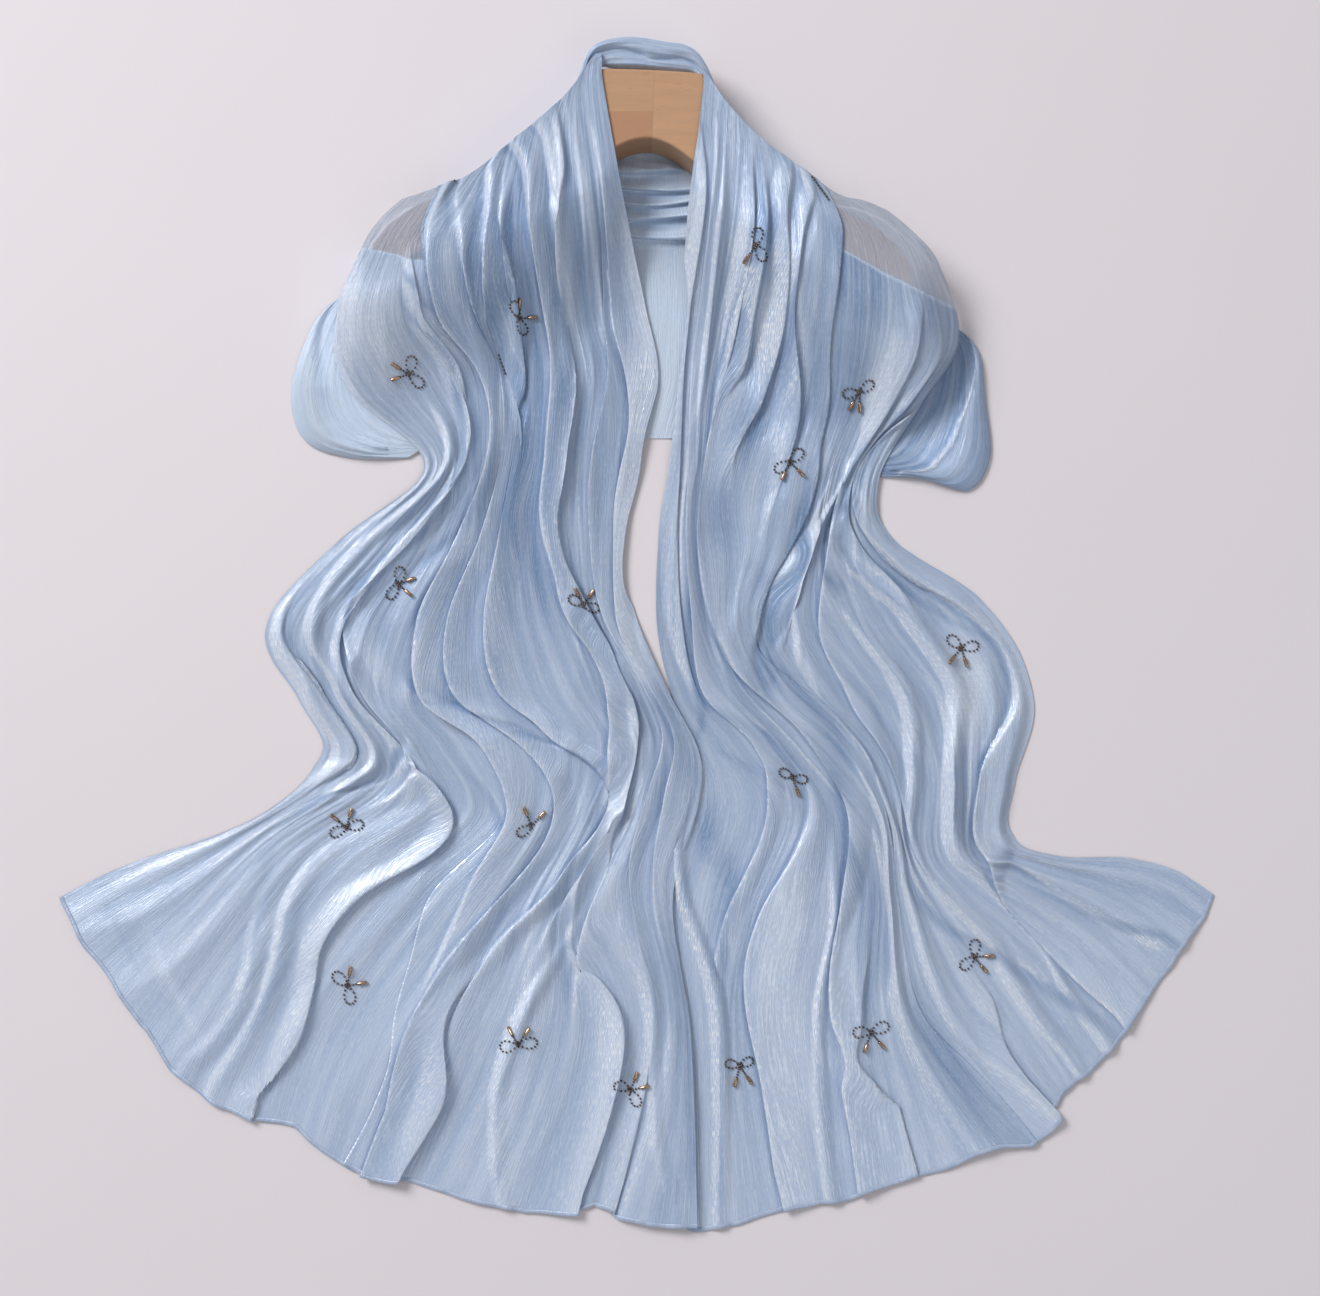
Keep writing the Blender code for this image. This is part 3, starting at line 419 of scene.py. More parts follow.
def cloth_lift(x, y):
    """Height of the flat cloth in mm: level on the hanger, sloping to the table below it."""
    reach, below = past_hanger(x, y)
    below = np.maximum(below - 13.0, 0.0)
    past = np.maximum(reach - HANGER_HALF[-1][0] - 2.0, 0.0)
    over = (CLOTH_TOP - BACK_LIFT) * (1.0 - smooth(np.hypot(below, past * 1.6) / SLOPE_REACH)) ** 1.25
    return BACK_LIFT * ramp(y, BACK_END - 60.0, 68.0) + over


# %% [markdown]
# ## From a path to a pleat
# A pleat is a rounded ridge pushed sideways. When the push is larger than the ridge is wide, its
# crest hangs over the cloth beside it, which is how a pleat that has fallen over looks. The cloth
# stays one sheet, and a straight push can never make it cross itself.

# %% Ridges, leans and small creases
BODY, STEEP, NEIGHBOUR = 1.7, 0.85, 0.65


def path_at(path, down):
    """Place across the cloth of a path, for every value of down."""
    path = np.asarray(path, float)
    at = np.clip(down, path[0, 0], path[-1, 0])
    return spline(path[:, 0], path[:, 1:2], at)[:, 0] if len(path) > 2 else read(path, at)


def mm_across(plan, lines, place, down):
    """How many mm one whole width measures around a place, for every value of down."""
    ends = plan_points(plan, lines, np.stack([place - 0.02, place + 0.02], axis=1), down)
    return np.maximum(np.linalg.norm(ends[:, 1] - ends[:, 0], axis=1) / 0.04, 60.0)


def eased(values, count=19):
    """Running mean down the cloth, so that a pleat's width never jumps."""
    padded = np.pad(values, count // 2, mode="edge")
    return np.convolve(padded, np.full(count, 1.0 / count), mode="valid")


def pleat_relief(plan, lines, pleats, u, down):
    """Height in mm and sideways push (a share of the width) of all pleats, and the fields of their foot (for
    more layers and painted shade) and their crest (for a painted highlight).
    """
    places, fades = [], []
    for lean, half, height, path in pleats.values():
        first, last = path[0][0], path[-1][0]
        fade = ramp(down, first - 0.3, 1.3) if first > 0.6 else np.ones_like(down)
        if last < 12.3:
            fade = fade * smooth((last + 0.3 - down) / 1.7)
        places.append(path_at(path, down))
        fades.append(fade)
    relief, total = np.zeros_like(u), np.full_like(u, 1e-3)
    push, foot, crest = np.zeros_like(u), np.zeros_like(u), np.zeros_like(u)
    for k, (lean, half, height, path) in enumerate(pleats.values()):
        place, fade = places[k], fades[k]
        one = mm_across(plan, lines, place, down)
        room = np.min([np.abs(place - other) + 0.12 * (1.0 - f)
                       for j, (other, f) in enumerate(zip(places, fades)) if j != k], axis=0)
        half_u = eased(np.minimum(half / one, NEIGHBOUR * room + 0.003))
        rise = np.minimum(height, 0.9 * half_u * one)[:, None]
        d = (u - (place - lean * half_u)[:, None]) / half_u[:, None]
        if lean < 0:
            d = -d
        if lean:
            d = np.where(d < 0.0, d / BODY, d / STEEP)
        bump = np.cos(0.5 * math.pi * np.clip(np.abs(d), 0.0, 1.0)) ** 2 * fade[:, None]
        relief = np.maximum(relief, rise * bump)
        weight = bump ** 3
        push += weight * lean * half_u[:, None] * bump
        total += weight
        strong = fade * np.minimum(1.0, height / 6.0)
        for field, centre, wide in ((foot, place + 0.15 * lean * half_u, 0.45),
                                    (crest, place - 0.95 * lean * half_u, 0.4)):
            d = np.abs(u - centre[:, None]) / (wide * half_u[:, None])
            np.maximum(field, strong[:, None] * (1.0 - smooth(d)), out=field)
    return relief, push / total * ramp(down[:, None], 0.6, 2.4), foot, crest


def tone_field(plan, lines, tones, u, down):
    """How many layers deeper or fewer the bands make the cloth, which is also painted shade in the deep bands
    and painted highlight in the pale ones.
    """
    total = np.zeros_like(u)
    for depth, half, path in tones:
        first, last = path[0][0], path[-1][0]
        fade = ramp(down, first - 0.3, 0.7) if first > 0.3 else np.ones_like(down)
        if last < 12.7:
            fade = fade * smooth((last + 0.3 - down) / 0.8)
        place = path_at(path, down)
        one = mm_across(plan, lines, place, down)
        d = np.clip(np.abs(u - place[:, None]) * one[:, None] / (1.5 * half), 0.0, 1.0)
        total += depth * fade[:, None] * (1.0 - smooth(d))
    return total


def rolling(u, down, seed):
    """Broad soft waves between the pleats, from -1 to 1."""
    rng = random.Random(seed)
    total = np.zeros_like(u)
    for width, share in ((0.17, 0.5), (0.105, 0.6), (0.066, 0.35)):
        a, b, c = rng.uniform(0.0, 6.28), rng.uniform(0.0, 6.28), rng.uniform(0.5, 0.9)
        drift = 0.35 * np.sin(c * down + a) + 0.2 * np.sin(1.9 * c * down + b)
        swell = 0.65 + 0.35 * np.sin(0.8 * c * down + 2.0 * b)
        turn = np.abs(np.sin(math.pi * (u / width + drift[:, None]) + b))
        total += share * swell[:, None] * (1.1 - 2.0 * turn ** CRISP)
    return total


def small_creases(u, down, count, seed, first=0.0, last=1.0):
    """Fine lengthwise creases, each with its own place, length and height, in mm."""
    rng = random.Random(seed)
    total = np.zeros_like(u)
    for _ in range(count):
        place = rng.uniform(first, last)
        start = rng.uniform(-2.0, 11.0)
        end = start + rng.uniform(2.0, 7.0)
        half = rng.uniform(0.006, 0.022)
        height = rng.uniform(0.25, 1.1)
        sway, turn = rng.uniform(0.003, 0.02), rng.uniform(0.4, 1.1)
        phase = rng.uniform(0.0, 6.28)
        centre = place + sway * np.sin(turn * down + phase)
        fade = ramp(down, start, 1.2) * smooth((end - down) / 1.2)
        d = np.clip(np.abs(u - centre[:, None]) / half, 0.0, 1.0)
        total += height * fade[:, None] * (1.0 - smooth(d))
    return total


# %% [markdown]
# ## Fronts and shoulders
# Each side is two sheets. The front is the gathered part, and its outer edge is folded under. The
# shoulder is the part that falls off the hanger's arm and comes out from under the front's edge
# down to the hem.

# %% Points of a front and of the side under it
ROWS, FRONT_COLUMNS, SHOULDER_COLUMNS = 390, 240, 200
# Share of a front that its outer edge rolls under, and how far in mm the rolled edge stands up
ROLL, FRONT_LIFT = 0.06, 2.1
# Half a wall of the solid model in mm, and the first short rows that tuck in at the shoulder
SHEET_MIDDLE, TUCK_ROWS, TUCK_END = 0.6, 8, 0.28
# Mm that the cloth stands up, its soft waves, how much a deep band sinks it, and the waves' sharpness
BASE_RISE, WAVES, DIP, CRISP = 2.2, 1.6, 1.0, 1.15
# Layers and painted shade at a pleat's foot and in the valleys, and how much its crest is lightened as a painted
# highlight
FOOT, VALLEY, CREST = 1.6, 0.8, 0.35
# Mm that the hem waves in and out, and the share of its height that it loses as it settles
END_WAVES, HEM_SETTLE, HEM_START, HEM_REACH = 1.6, 0.5, 11.7, 1.3
CREASE_HEIGHT = 0.45


def rows_down(count):
    top = np.linspace(0.0, TUCK_END, TUCK_ROWS + 1)[:-1]
    return np.concatenate([top, np.linspace(TUCK_END, 13.0, count - TUCK_ROWS)])


def over_lobe(down):
    return 2.2 * ramp(down, 1.9, 0.4) * (1.0 - ramp(down, 5.35, 0.45))


def unit(steps):
    return steps / np.maximum(np.linalg.norm(steps, axis=-1, keepdims=True), 1e-6)


def uneven_rim(xy, u, down, hem, out, seed):
    """Moves the hem and the outer edge of a sheet in and out, so that they aren't smooth curves."""
    flow, side = unit(np.gradient(xy, axis=0)), unit(np.gradient(xy, axis=1))
    past = (read(hem, u) + END_WAVES * rolling(u, down, seed)) * ramp(down, HEM_START, HEM_REACH)[:, None]
    wide = read(out, down)[:, None] * ramp(u, 0.84, 0.16)
    return xy + flow * past[..., None] + side * wide[..., None]


def folded(plan, lines, pleats, tones, u, down, creases, fades, least, seed):
    """Height, sideways push, tone and crest of one sheet: its pleats, small creases and soft waves."""
    v = down[:, None]
    relief, push, foot, crest = pleat_relief(plan, lines, pleats, u, down)
    bands = tone_field(plan, lines, tones, u, down)
    relief = relief + CREASE_HEIGHT * small_creases(u, down, creases[0], seed, *creases[1:]) * fades[0]
    taller = WAVES * (1.0 + 0.5 * ramp(v, 6.5, 2.0))
    waves = BASE_RISE + taller * rolling(u, down, seed) - DIP * np.clip(bands, -1.2, 1.6)
    relief = relief + np.maximum(waves, least) * fades[1]
    # Painted shade and light: the tone deepens at a pleat's foot and in low valleys and goes paler on high
    # crests, on top of the real layers
    tone = bands + FOOT * foot + VALLEY * ramp(v, 5.0, 2.0) * (0.45 - smooth(relief / 7.0))
    settled = 1.0 - HEM_SETTLE * ramp(v, HEM_START, HEM_REACH)
    return relief * (smooth(v / 2.2) * 0.7 + 0.3) * settled, push, tone, crest


def front_points(plan, lines, pleats, tones, edge, rims, overlap, seed):
    """The gathered front: x, y, z in mm, and how far across the whole cloth each point is."""
    down = rows_down(ROWS)
    t = np.linspace(0.0, 1.0, FRONT_COLUMNS)
    flat, rolled = np.minimum(t / (1.0 - ROLL), 1.0), np.maximum((t - 1.0 + ROLL) / ROLL, 0.0)
    split = path_at(edge, down)
    u = split[:, None] * flat[None, :]
    v = down[:, None]
    fades = (1.0, ramp(u, 0.05, 0.1) * ramp(v, 0.8, 1.6))
    relief, push, tone, crest = folded(plan, lines, pleats, tones, u, down, (46, 0.07, 0.6), fades, 0.2, seed)
    turn = np.minimum(rolled * 2.0, 1.0)
    back = np.maximum(rolled * 2.0 - 1.0, 0.0)
    width = mm_across(plan, lines, split, down)[:, None]
    u_roll = (1.5 * np.sin(math.pi * turn) - 8.0 * back)[None, :] / width
    xy = uneven_rim(plan_points(plan, lines, u + push + u_roll, down), u, down, *rims, seed + 5)
    lift = cloth_lift(xy[..., 0], xy[..., 1])
    edge_near = ramp(u, split[:, None] - 0.11, 0.05)
    lift = np.maximum(lift, over_lobe(v) * edge_near) + FRONT_LIFT * edge_near
    tuck = np.maximum(smooth(v / 0.105), 1.0 - ramp(u, 0.07, 0.05))
    z = (lift + relief) * tuck + 0.6 * (1.0 - tuck)
    z = z - (0.9 * (1.0 - np.cos(math.pi * turn)))[None, :] * np.minimum(tuck, 1.0)
    over = ramp(v, 6.9, 0.6) + 0.8 * ramp(v, 11.6, 0.8)
    z = z + overlap * smooth((0.12 - u) / 0.05) * over + SHEET_MIDDLE
    return np.concatenate([xy, z[..., None]], axis=2), u - (0.02 * back)[None, :], down, tone, crest


def shoulder_points(plan, lines, pleats, tones, edge, rims, seed):
    """The side that comes out from under the front: x, y, z in mm, and its place across."""
    down = rows_down(ROWS)
    split = path_at(edge, down)
    start = split - 0.10
    t = np.linspace(0.0, 1.0, SHOULDER_COLUMNS)
    u = start[:, None] + (1.0 - start)[:, None] * t[None, :]
    v = down[:, None]
    fades = (ramp(v, 3.6, 2.0), ramp(v, 3.8, 1.8))
    relief, push, tone, crest = folded(plan, lines, pleats, tones, u, down, (30, 0.4, 1.0), fades, 0.1, seed)
    relief = relief * smooth((1.0 - u) / 0.05) * ramp(u, split[:, None] - 0.03, 0.04)
    xy = plan_points(plan, lines, np.minimum(u + push * smooth((1.0 - u) / 0.12), 1.0), down)
    xy = uneven_rim(xy, u, down, *rims, seed + 5)
    lift = cloth_lift(xy[..., 0], xy[..., 1])
    tuck = smooth(v / 0.105) * smooth((1.0 - u) / 0.028)
    low = np.where(v < 1.8, 0.6, 0.0) + over_lobe(v)
    lift = np.maximum(lift, low)
    z = (lift + relief) * tuck + low * (1.0 - tuck) + SHEET_MIDDLE
    return np.concatenate([xy, z[..., None]], axis=2), u, down, tone, crest


# %% [markdown]
# ## A sheet from rows of points
# Blender's grid already has the right faces, in rows and columns. Moving its vertices to the
# points gives the cloth. Its UV map holds real metres across and down the cloth, so the crinkle
# follows the pleats, and a layers attribute says how many layers of cloth lie on each other, with
# painted shade and paler painted highlight added in; a second attribute says where the colour
# is lightened as a painted highlight.

# %% Grid to cloth
CUT_WIDTH = 0.70
PIECES = {}


def cloth_piece(name, points, across, layers, material, node, painted_highlight=0.0):
    """Makes a sheet from rows of points in mm, and puts it in the place of a CAD node."""
    rows, columns = points.shape[:2]
    bm = bmesh.new()
    bm.loops.layers.uv.new("flow")
    bmesh.ops.create_grid(bm, x_segments=columns - 1, y_segments=rows - 1, size=0.5, calc_uvs=True)
    mesh = mesh_of(bm, name)
    co = np.empty(len(mesh.vertices) * 3, np.float32)
    mesh.vertices.foreach_get("co", co)
    co = co.reshape(-1, 3)
    i = np.rint((co[:, 0] + 0.5) * (columns - 1)).astype(int)
    j = np.rint((0.5 - co[:, 1]) * (rows - 1)).astype(int)
    placed = ((points + SETTLE) * MM)[j, i]
    mesh.vertices.foreach_set("co", placed.astype(np.float32).ravel())
    along = np.linalg.norm(np.diff(points, axis=0), axis=2).mean(axis=1)
    along = np.concatenate([[0.0], np.cumsum(along)]) * MM
    uv = np.stack([across * CUT_WIDTH, np.tile(along[:, None], (1, columns))], axis=2)[j, i]
    corner = np.empty(len(mesh.loops), np.int32)
    mesh.loops.foreach_get("vertex_index", corner)
    mesh.uv_layers["flow"].data.foreach_set("uv", uv[corner].astype(np.float32).ravel())
    for label, value in (("layers", layers), ("painted_highlight", painted_highlight)):
        field = mesh.attributes.new(label, "FLOAT", "POINT")
        field.data.foreach_set("value", np.broadcast_to(value, (rows, columns))[j, i].astype(np.float32))
    mesh.update()
    faces = len(mesh.polygons)
    normals, areas = np.empty(faces * 3, np.float32), np.empty(faces, np.float32)
    mesh.polygons.foreach_get("normal", normals)
    mesh.polygons.foreach_get("area", areas)
    if (normals[2::3] * areas).sum() < 0.0:
        mesh.flip_normals()
    thing = placed_object(name, mesh, material)
    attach(thing, "root")
    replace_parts(thing, node)
    PIECES[name] = thing
    print(name, faces * 2, "triangles,", round(float(areas.sum()), 4), "m2")


# %% [markdown]
# ## The chiffon
# The real cloth is woven from a bright, twisted yarn: it is sheer in one layer, deeper blue where
# it lies in several, and it shines in thin broken lines that run down the cloth. The material
# takes the number of layers for its colour and its cover, and a noise drawn out along the UV map
# for the lines. Part of that shine is painted: the noise mixes thin lines, broad streaks and
# specks of a pale colour into the base colour, most where the painted highlight attribute is
# high, and the layers attribute also carries painted shade. A satin cloth shines across its
# threads, so the shader is anisotropic.

# %% Sheer satin material
CHIFFON_THIN = (0.475, 0.575, 0.74)
CHIFFON_DEEP = (0.17, 0.275, 0.46)
# Pale colours painted into the cloth as highlights: the shine of its lines, and its glints
CHIFFON_PAINTED_SHINE = (0.80, 0.87, 0.98)
CHIFFON_PAINTED_GLINT = (0.95, 0.97, 1.0)
# How much one layer, and more than one, hide what is behind them
COVER = (0.58, 1.0)


def new_material(name):
    made = bpy.data.materials.new(name)
    made.use_nodes = True
    return made, made.node_tree, made.node_tree.nodes["Principled BSDF"]


def node(tree, kind, **values):
    """Adds a node. A value that is another node's output is linked, and any other value is set."""
    made = tree.nodes.new(kind)
    for key, value in values.items():
        if isinstance(value, bpy.types.NodeSocket):
            tree.links.new(value, made.inputs[key])
        elif key in made.inputs:
            made.inputs[key].default_value = value
        else:
            setattr(made, key, value)
    return made


def noise_of(tree, place, scale, detail, rough=0.5):
    noise = node(tree, "ShaderNodeTexNoise", Vector=place, Scale=scale, Detail=detail, Roughness=rough)
    return noise.outputs["Fac"]


def bumped(tree, strength, distance, height, below=None):
    """A bump from a height, laid over another bump if there is one."""
    made = node(tree, "ShaderNodeBump", Strength=strength, Distance=distance, Height=height)
    if below is not None:
        tree.links.new(below, made.inputs["Normal"])
    return made.outputs["Normal"]


def streaks(tree, width, length, detail=2.0):
    """Noise drawn out along the cloth: lines of that width and length in metres."""
    flow = node(tree, "ShaderNodeUVMap", uv_map="flow").outputs["UV"]
    scale = node(tree, "ShaderNodeMapping", Vector=flow, Scale=(1.0 / width, 1.0 / length, 1.0))
    return noise_of(tree, scale.outputs["Vector"], 1.0, detail, 0.55)


def ranged(tree, value, low, high, to_low, to_high):
    made = node(tree, "ShaderNodeMapRange", Value=value)
    for key, end in (("From Min", low), ("From Max", high), ("To Min", to_low), ("To Max", to_high)):
        made.inputs[key].default_value = end
    return made.outputs["Result"]


def times(tree, one, two):
    made = node(tree, "ShaderNodeMath", operation="MULTIPLY")
    tree.links.new(one, made.inputs[0])
    tree.links.new(two, made.inputs[1])
    return made.outputs["Value"]


def mixed(tree, factor, one, two):
    made = node(tree, "ShaderNodeMix", data_type="RGBA")
    tree.links.new(factor, [s for s in made.inputs if s.name == "Factor" and s.type == "VALUE"][0])
    for place, colour in (("A", one), ("B", two)):
        socket = [s for s in made.inputs if s.name == place and s.type == "RGBA"][0]
        if isinstance(colour, tuple):
            socket.default_value = (*colour, 1.0)
        else:
            tree.links.new(colour, socket)
    return [s for s in made.outputs if s.type == "RGBA"][0]


def chiffon_material(name, thin, deep, line, cover):
    made, tree, shader = new_material(name)
    layers = node(tree, "ShaderNodeAttribute", attribute_name="layers").outputs["Fac"]
    painted_highlight = node(tree, "ShaderNodeAttribute", attribute_name="painted_highlight").outputs["Fac"]
    fine = streaks(tree, 0.0011, 0.034)
    broad = streaks(tree, 0.014, 0.20, 1.0)
    # Deeper colour for more layers; the layers attribute also carries painted shade
    base = mixed(tree, ranged(tree, layers, 1.0, 4.9, 0.0, 1.0), thin, deep)
    # Painted sheen: broad streaks lighten the colour toward the shine colour
    base = mixed(tree, ranged(tree, broad, 0.40, 0.70, 0.0, 0.25), base, line)
    # Painted highlight: the colour goes toward the shine colour where the highlight attribute is high
    base = mixed(tree, ranged(tree, painted_highlight, 0.1, 1.0, 0.0, 0.22), base, line)
    # Painted shine: thin lines of the shine colour, strongest under the painted highlight
    lines = times(tree, ranged(tree, fine, 0.50, 0.64, 0.0, 1.0), ranged(tree, painted_highlight, 0.0, 0.8, 0.20, 0.85))
    base = mixed(tree, lines, base, line)
    # Painted glints: tiny specks of the glint colour, strongest under the painted highlight
    specks = streaks(tree, 0.0004, 0.005, 0.0)
    painted_glint = times(tree, ranged(tree, specks, 0.54, 0.64, 0.0, 1.0), ranged(tree, painted_highlight, 0.0, 0.8, 0.12, 0.85))
    base = mixed(tree, painted_glint, base, CHIFFON_PAINTED_GLINT)
    tree.links.new(base, shader.inputs["Base Color"])
    tree.links.new(ranged(tree, fine, 0.42, 0.66, 0.52, 0.27), shader.inputs["Roughness"])
    tree.links.new(ranged(tree, lines, 0.0, 1.0, 0.13, 0.42), shader.inputs["Metallic"])
    tree.links.new(ranged(tree, layers, 0.6, 1.2, cover[0], cover[1]), shader.inputs["Alpha"])
    wide = bumped(tree, 0.35, 0.003, broad)
    bump = bumped(tree, 0.75, 0.0007, fine, wide)
    tree.links.new(bumped(tree, 0.35, 0.0003, specks, bump), shader.inputs["Normal"])
    shader.inputs["Specular IOR Level"].default_value = 0.5
    shader.inputs["Anisotropic"].default_value = 0.75
    shader.inputs["Sheen Weight"].default_value = 0.25
    shader.inputs["Sheen Roughness"].default_value = 0.4
    tangent = node(tree, "ShaderNodeTangent", direction_type="UV_MAP", uv_map="flow")
    tree.links.new(tangent.outputs["Tangent"], shader.inputs["Tangent"])
    return made


chiffon = chiffon_material("chiffon", CHIFFON_THIN, CHIFFON_DEEP, CHIFFON_PAINTED_SHINE, COVER)
hem_cloth = chiffon_material("hem_chiffon", (0.40, 0.49, 0.66), (0.34, 0.44, 0.62), CHIFFON_PAINTED_SHINE, (0.8, 0.9))
# A paler copy of the chiffon, painted lighter against the shade on the drape behind the hanger and on the left
# lobe
painted_light_cloth = chiffon_material("painted_light_chiffon", (0.58, 0.70, 0.86), (0.52, 0.66, 0.88), (0.84, 0.91, 0.99),
                              (0.7, 0.98))
print("materials", [m.name for m in (chiffon, hem_cloth, painted_light_cloth)])

# %% Layers of cloth down each sheet
# Each row: how far down, and how many layers
FRONT_LAYERS = ((0.0, 3.3), (3.0, 3.3), (5.0, 3.5), (7.0, 3.0), (9.0, 2.4), (11.0, 2.2), (13.0, 2.0))
SHOULDER_LAYERS = ((0.0, 2.0), (3.0, 2.0), (5.0, 2.9), (6.3, 2.8), (8.5, 2.3), (10.5, 2.1), (13.0, 1.8))
# Where one layer over the hanger's arm gives way to more: how far across, how far down
SHEER_END = {
    "left": (0.4, ((0.58, 2.24), (0.78, 2.06), (0.92, 1.92), (1.0, 1.82))),
    "right": (1.7, ((0.44, 2.0), (0.51, 2.14), (0.61, 2.28), (0.71, 2.36), (0.83, 2.46), (0.96, 2.56))),
}
SHEER, FEWEST = 0.6, 1.2


def shoulder_layers(side, across, down, tone):
    """Layers of the shoulder: one over the hanger's arm, and deepest just below it."""
    deeper, line = SHEER_END[side]
    past = down[:, None] - read(line, across)
    below = read(SHOULDER_LAYERS, down)[:, None] + deeper * (1.0 - ramp(past, 0.15, 0.9)) + tone
    below = np.maximum(below, FEWEST)
    return SHEER + (below - SHEER) * smooth((past + 0.02) / 0.07)


def painted_highlight_of(points, down, tone, crest):
    """Painted highlight, from 0 to 1: how far the colour is lightened on slopes that face the light, on pale
    bands and on pleat crests.
    """
    dx = np.gradient(points[..., 0], axis=1)
    dz = np.gradient(points[..., 2], axis=1)
    slope = soften(dz / np.where(np.abs(dx) < 0.15, 0.15, np.abs(dx)) * np.sign(dx))
    # Painted highlight from the pale bands, from slopes that face the light and from the crests
    pale_band_highlight = 0.22 * np.clip(-tone, 0.0, 1.2) + 0.6 * np.clip(-tone - 1.3, 0.0, 0.7)
    bright = 0.9 * ramp(slope, 0.08, 0.5) + pale_band_highlight + CREST * crest
    bright *= 0.7 + 0.3 * ramp(down[:, None], 1.6, 1.6)
    return np.clip(bright * (1.0 - ramp(tone, 0.2, 1.2)), 0.0, 1.0)


# %% Make the fronts and shoulders
# Each row: side, its tables, how far it lies over the other side in mm, random seed, more layers above
SIDES = (
    ("left", LEFT_PLAN, LEFT_LINES, LEFT_PLEATS, LEFT_SIDE_PLEATS, LEFT_TONES, LEFT_EDGE,
     (LEFT_HEM, LEFT_OUT), 2.6, 11, 0.0),
    ("right", RIGHT_PLAN, RIGHT_LINES, RIGHT_PLEATS, RIGHT_SIDE_PLEATS, RIGHT_TONES, RIGHT_EDGE,
     (RIGHT_HEM, RIGHT_OUT), 0.0, 23, -0.6),
)
ENDS = {}
for side, plan, lines, pleats, side_pleats, tones, edge, rims, overlap, seed, more in SIDES:
    points, across, down, tone, crest = front_points(plan, lines, pleats, tones, edge, rims, overlap, seed)
    layers = read(FRONT_LAYERS, down)[:, None] + more * smooth((8.0 - down) / 3.0)[:, None]
    # The tone adds painted shade (deep bands, pleat feet, valleys) and paler painted highlight (pale bands,
    # crests) to the layers
    cloth_piece("cloth_front_" + side, points, across, np.maximum(layers + tone, FEWEST), chiffon,
                "front_" + side, painted_highlight=painted_highlight_of(points, down, tone, crest))
    ENDS["front_" + side] = (points, across)
    points, across, down, tone, crest = shoulder_points(plan, lines, side_pleats, tones, edge, rims, seed + 1)
    cloth_piece("cloth_shoulder_" + side, points, across, shoulder_layers(side, across, down, tone),
                chiffon, "shoulder_" + side, painted_highlight=painted_highlight_of(points, down, tone, crest))
    ENDS["shoulder_" + side] = (points, across)

# %% [markdown]
# ## Lobes
# Below each shoulder a lobe of cloth puffs out and is turned back under. It is a sheet that
# starts under the shoulder, swells to its fold, and returns beneath it.

# %% Lobes under the shoulders
LEFT_LOBE = (
    ((-196, 257), (-207, 254), (-219, 251)),
    ((-191, 225), (-216, 222), (-241, 228)),
    ((-187, 194), (-222, 185), (-256, 182)),
    ((-175, 172), (-211, 155), (-248, 145)),
    ((-156, 155), (-184, 141), (-216, 131)),
    ((-144, 146), (-156, 139), (-170, 130)),
)
RIGHT_LOBE = (
    ((218, 231), (229, 230), (239, 227)),
    ((213, 209), (234, 206), (256, 209)),
    ((198, 184), (230, 175), (261, 172)),
    ((182, 162), (219, 147), (264, 130)),
    ((168, 146), (206, 129), (248, 106)),
    ((158, 135), (182, 124), (215, 114)),
    ((149, 127), (166, 120), (186, 116)),
)
LOBE_SWELL = 6.0
# How far along the lobe, and the share of its width that the shoulder covers
LOBE_COVERED = ((0.0, 0.98), (0.2, 0.85), (0.4, 0.55), (0.6, 0.45), (0.8, 0.5), (0.9, 0.8), (1.0, 0.95))
# Each ridge: its middle and half width as shares, and its height in mm
LOBE_RIDGES = ((0.62, 0.07, 2.2), (0.78, 0.06, 1.8), (0.9, 0.05, 1.2))


def lobe_points(plan, first, soft):
    """The loop of cloth: its points, its place across, how near the shoulder it is, and the line of its crease,
    which carries a painted highlight.
    """
    down = np.linspace(0.0, len(plan) - 1.0, 90)
    t = np.linspace(0.0, 1.0, 90)
    s = np.where(t < 0.8, t / 0.8, 1.0 - (t - 0.8) * 0.6)
    xy = np.stack([spline((0.0, 0.5, 1.0), row, s) for row in section_rows(plan, down)])
    end = down / down[-1]
    start = read(LOBE_COVERED, end)[:, None]
    place = np.clip((s[None, :] - start) / (1.001 - start), 0.0, 1.0)
    puff = np.sin(math.pi * end)[:, None]
    z = LOBE_SWELL * puff * np.sin(math.pi * np.clip(place * 0.93, 0.0, 1.0) ** 1.2) ** 1.3
    for middle, half, height in LOBE_RIDGES:
        ridge = (1.0 - smooth(np.abs(s - middle) / half))[None, :]
        z = z + height * ridge * ramp(end, 0.45, 0.35)[:, None] * puff ** 0.5 * (place > 0.0)
    # The crease line is a small raised ridge, and a painted highlight along it
    line = 1.0 - smooth(np.abs(place - first - soft) / 0.07) if first else 0.0 * place
    z = z + 1.2 * line * puff
    z = np.where(t[None, :] > 0.8, np.minimum(z, 0.0), z + 1.1 * smooth((1.0 - s) / 0.05)[None, :])
    near = 1.0 - ramp(place, first, soft)
    across = np.tile(s * 0.3, (len(down), 1))
    return np.concatenate([xy, z[..., None] + SHEET_MIDDLE], axis=2), across, near, line


# The left lobe takes the paler chiffon, painted lighter against its shade
# Each row: side, plan, layers, how many more near the shoulder, where those end and how softly
for side, plan, depth, more, first, soft, cloth in (
        ("left", LEFT_LOBE, 0.9, 0.7, 0.0, 0.8, painted_light_cloth),
        ("right", RIGHT_LOBE, 3.7, 1.3, 0.24, 0.12, chiffon)):
    points, across, near, line = lobe_points(plan, first, soft)
    # The crease line goes in as the lobe's painted highlight
    cloth_piece("cloth_lobe_" + side, points, across, depth + more * near, cloth, "lobe_" + side,
                painted_highlight=0.7 * line)

# %% [markdown]
# ## The drape behind
# Behind the hanger the cloth is gathered in a few swags, and below them it lies flat, in one
# thin layer, down to its own edge.

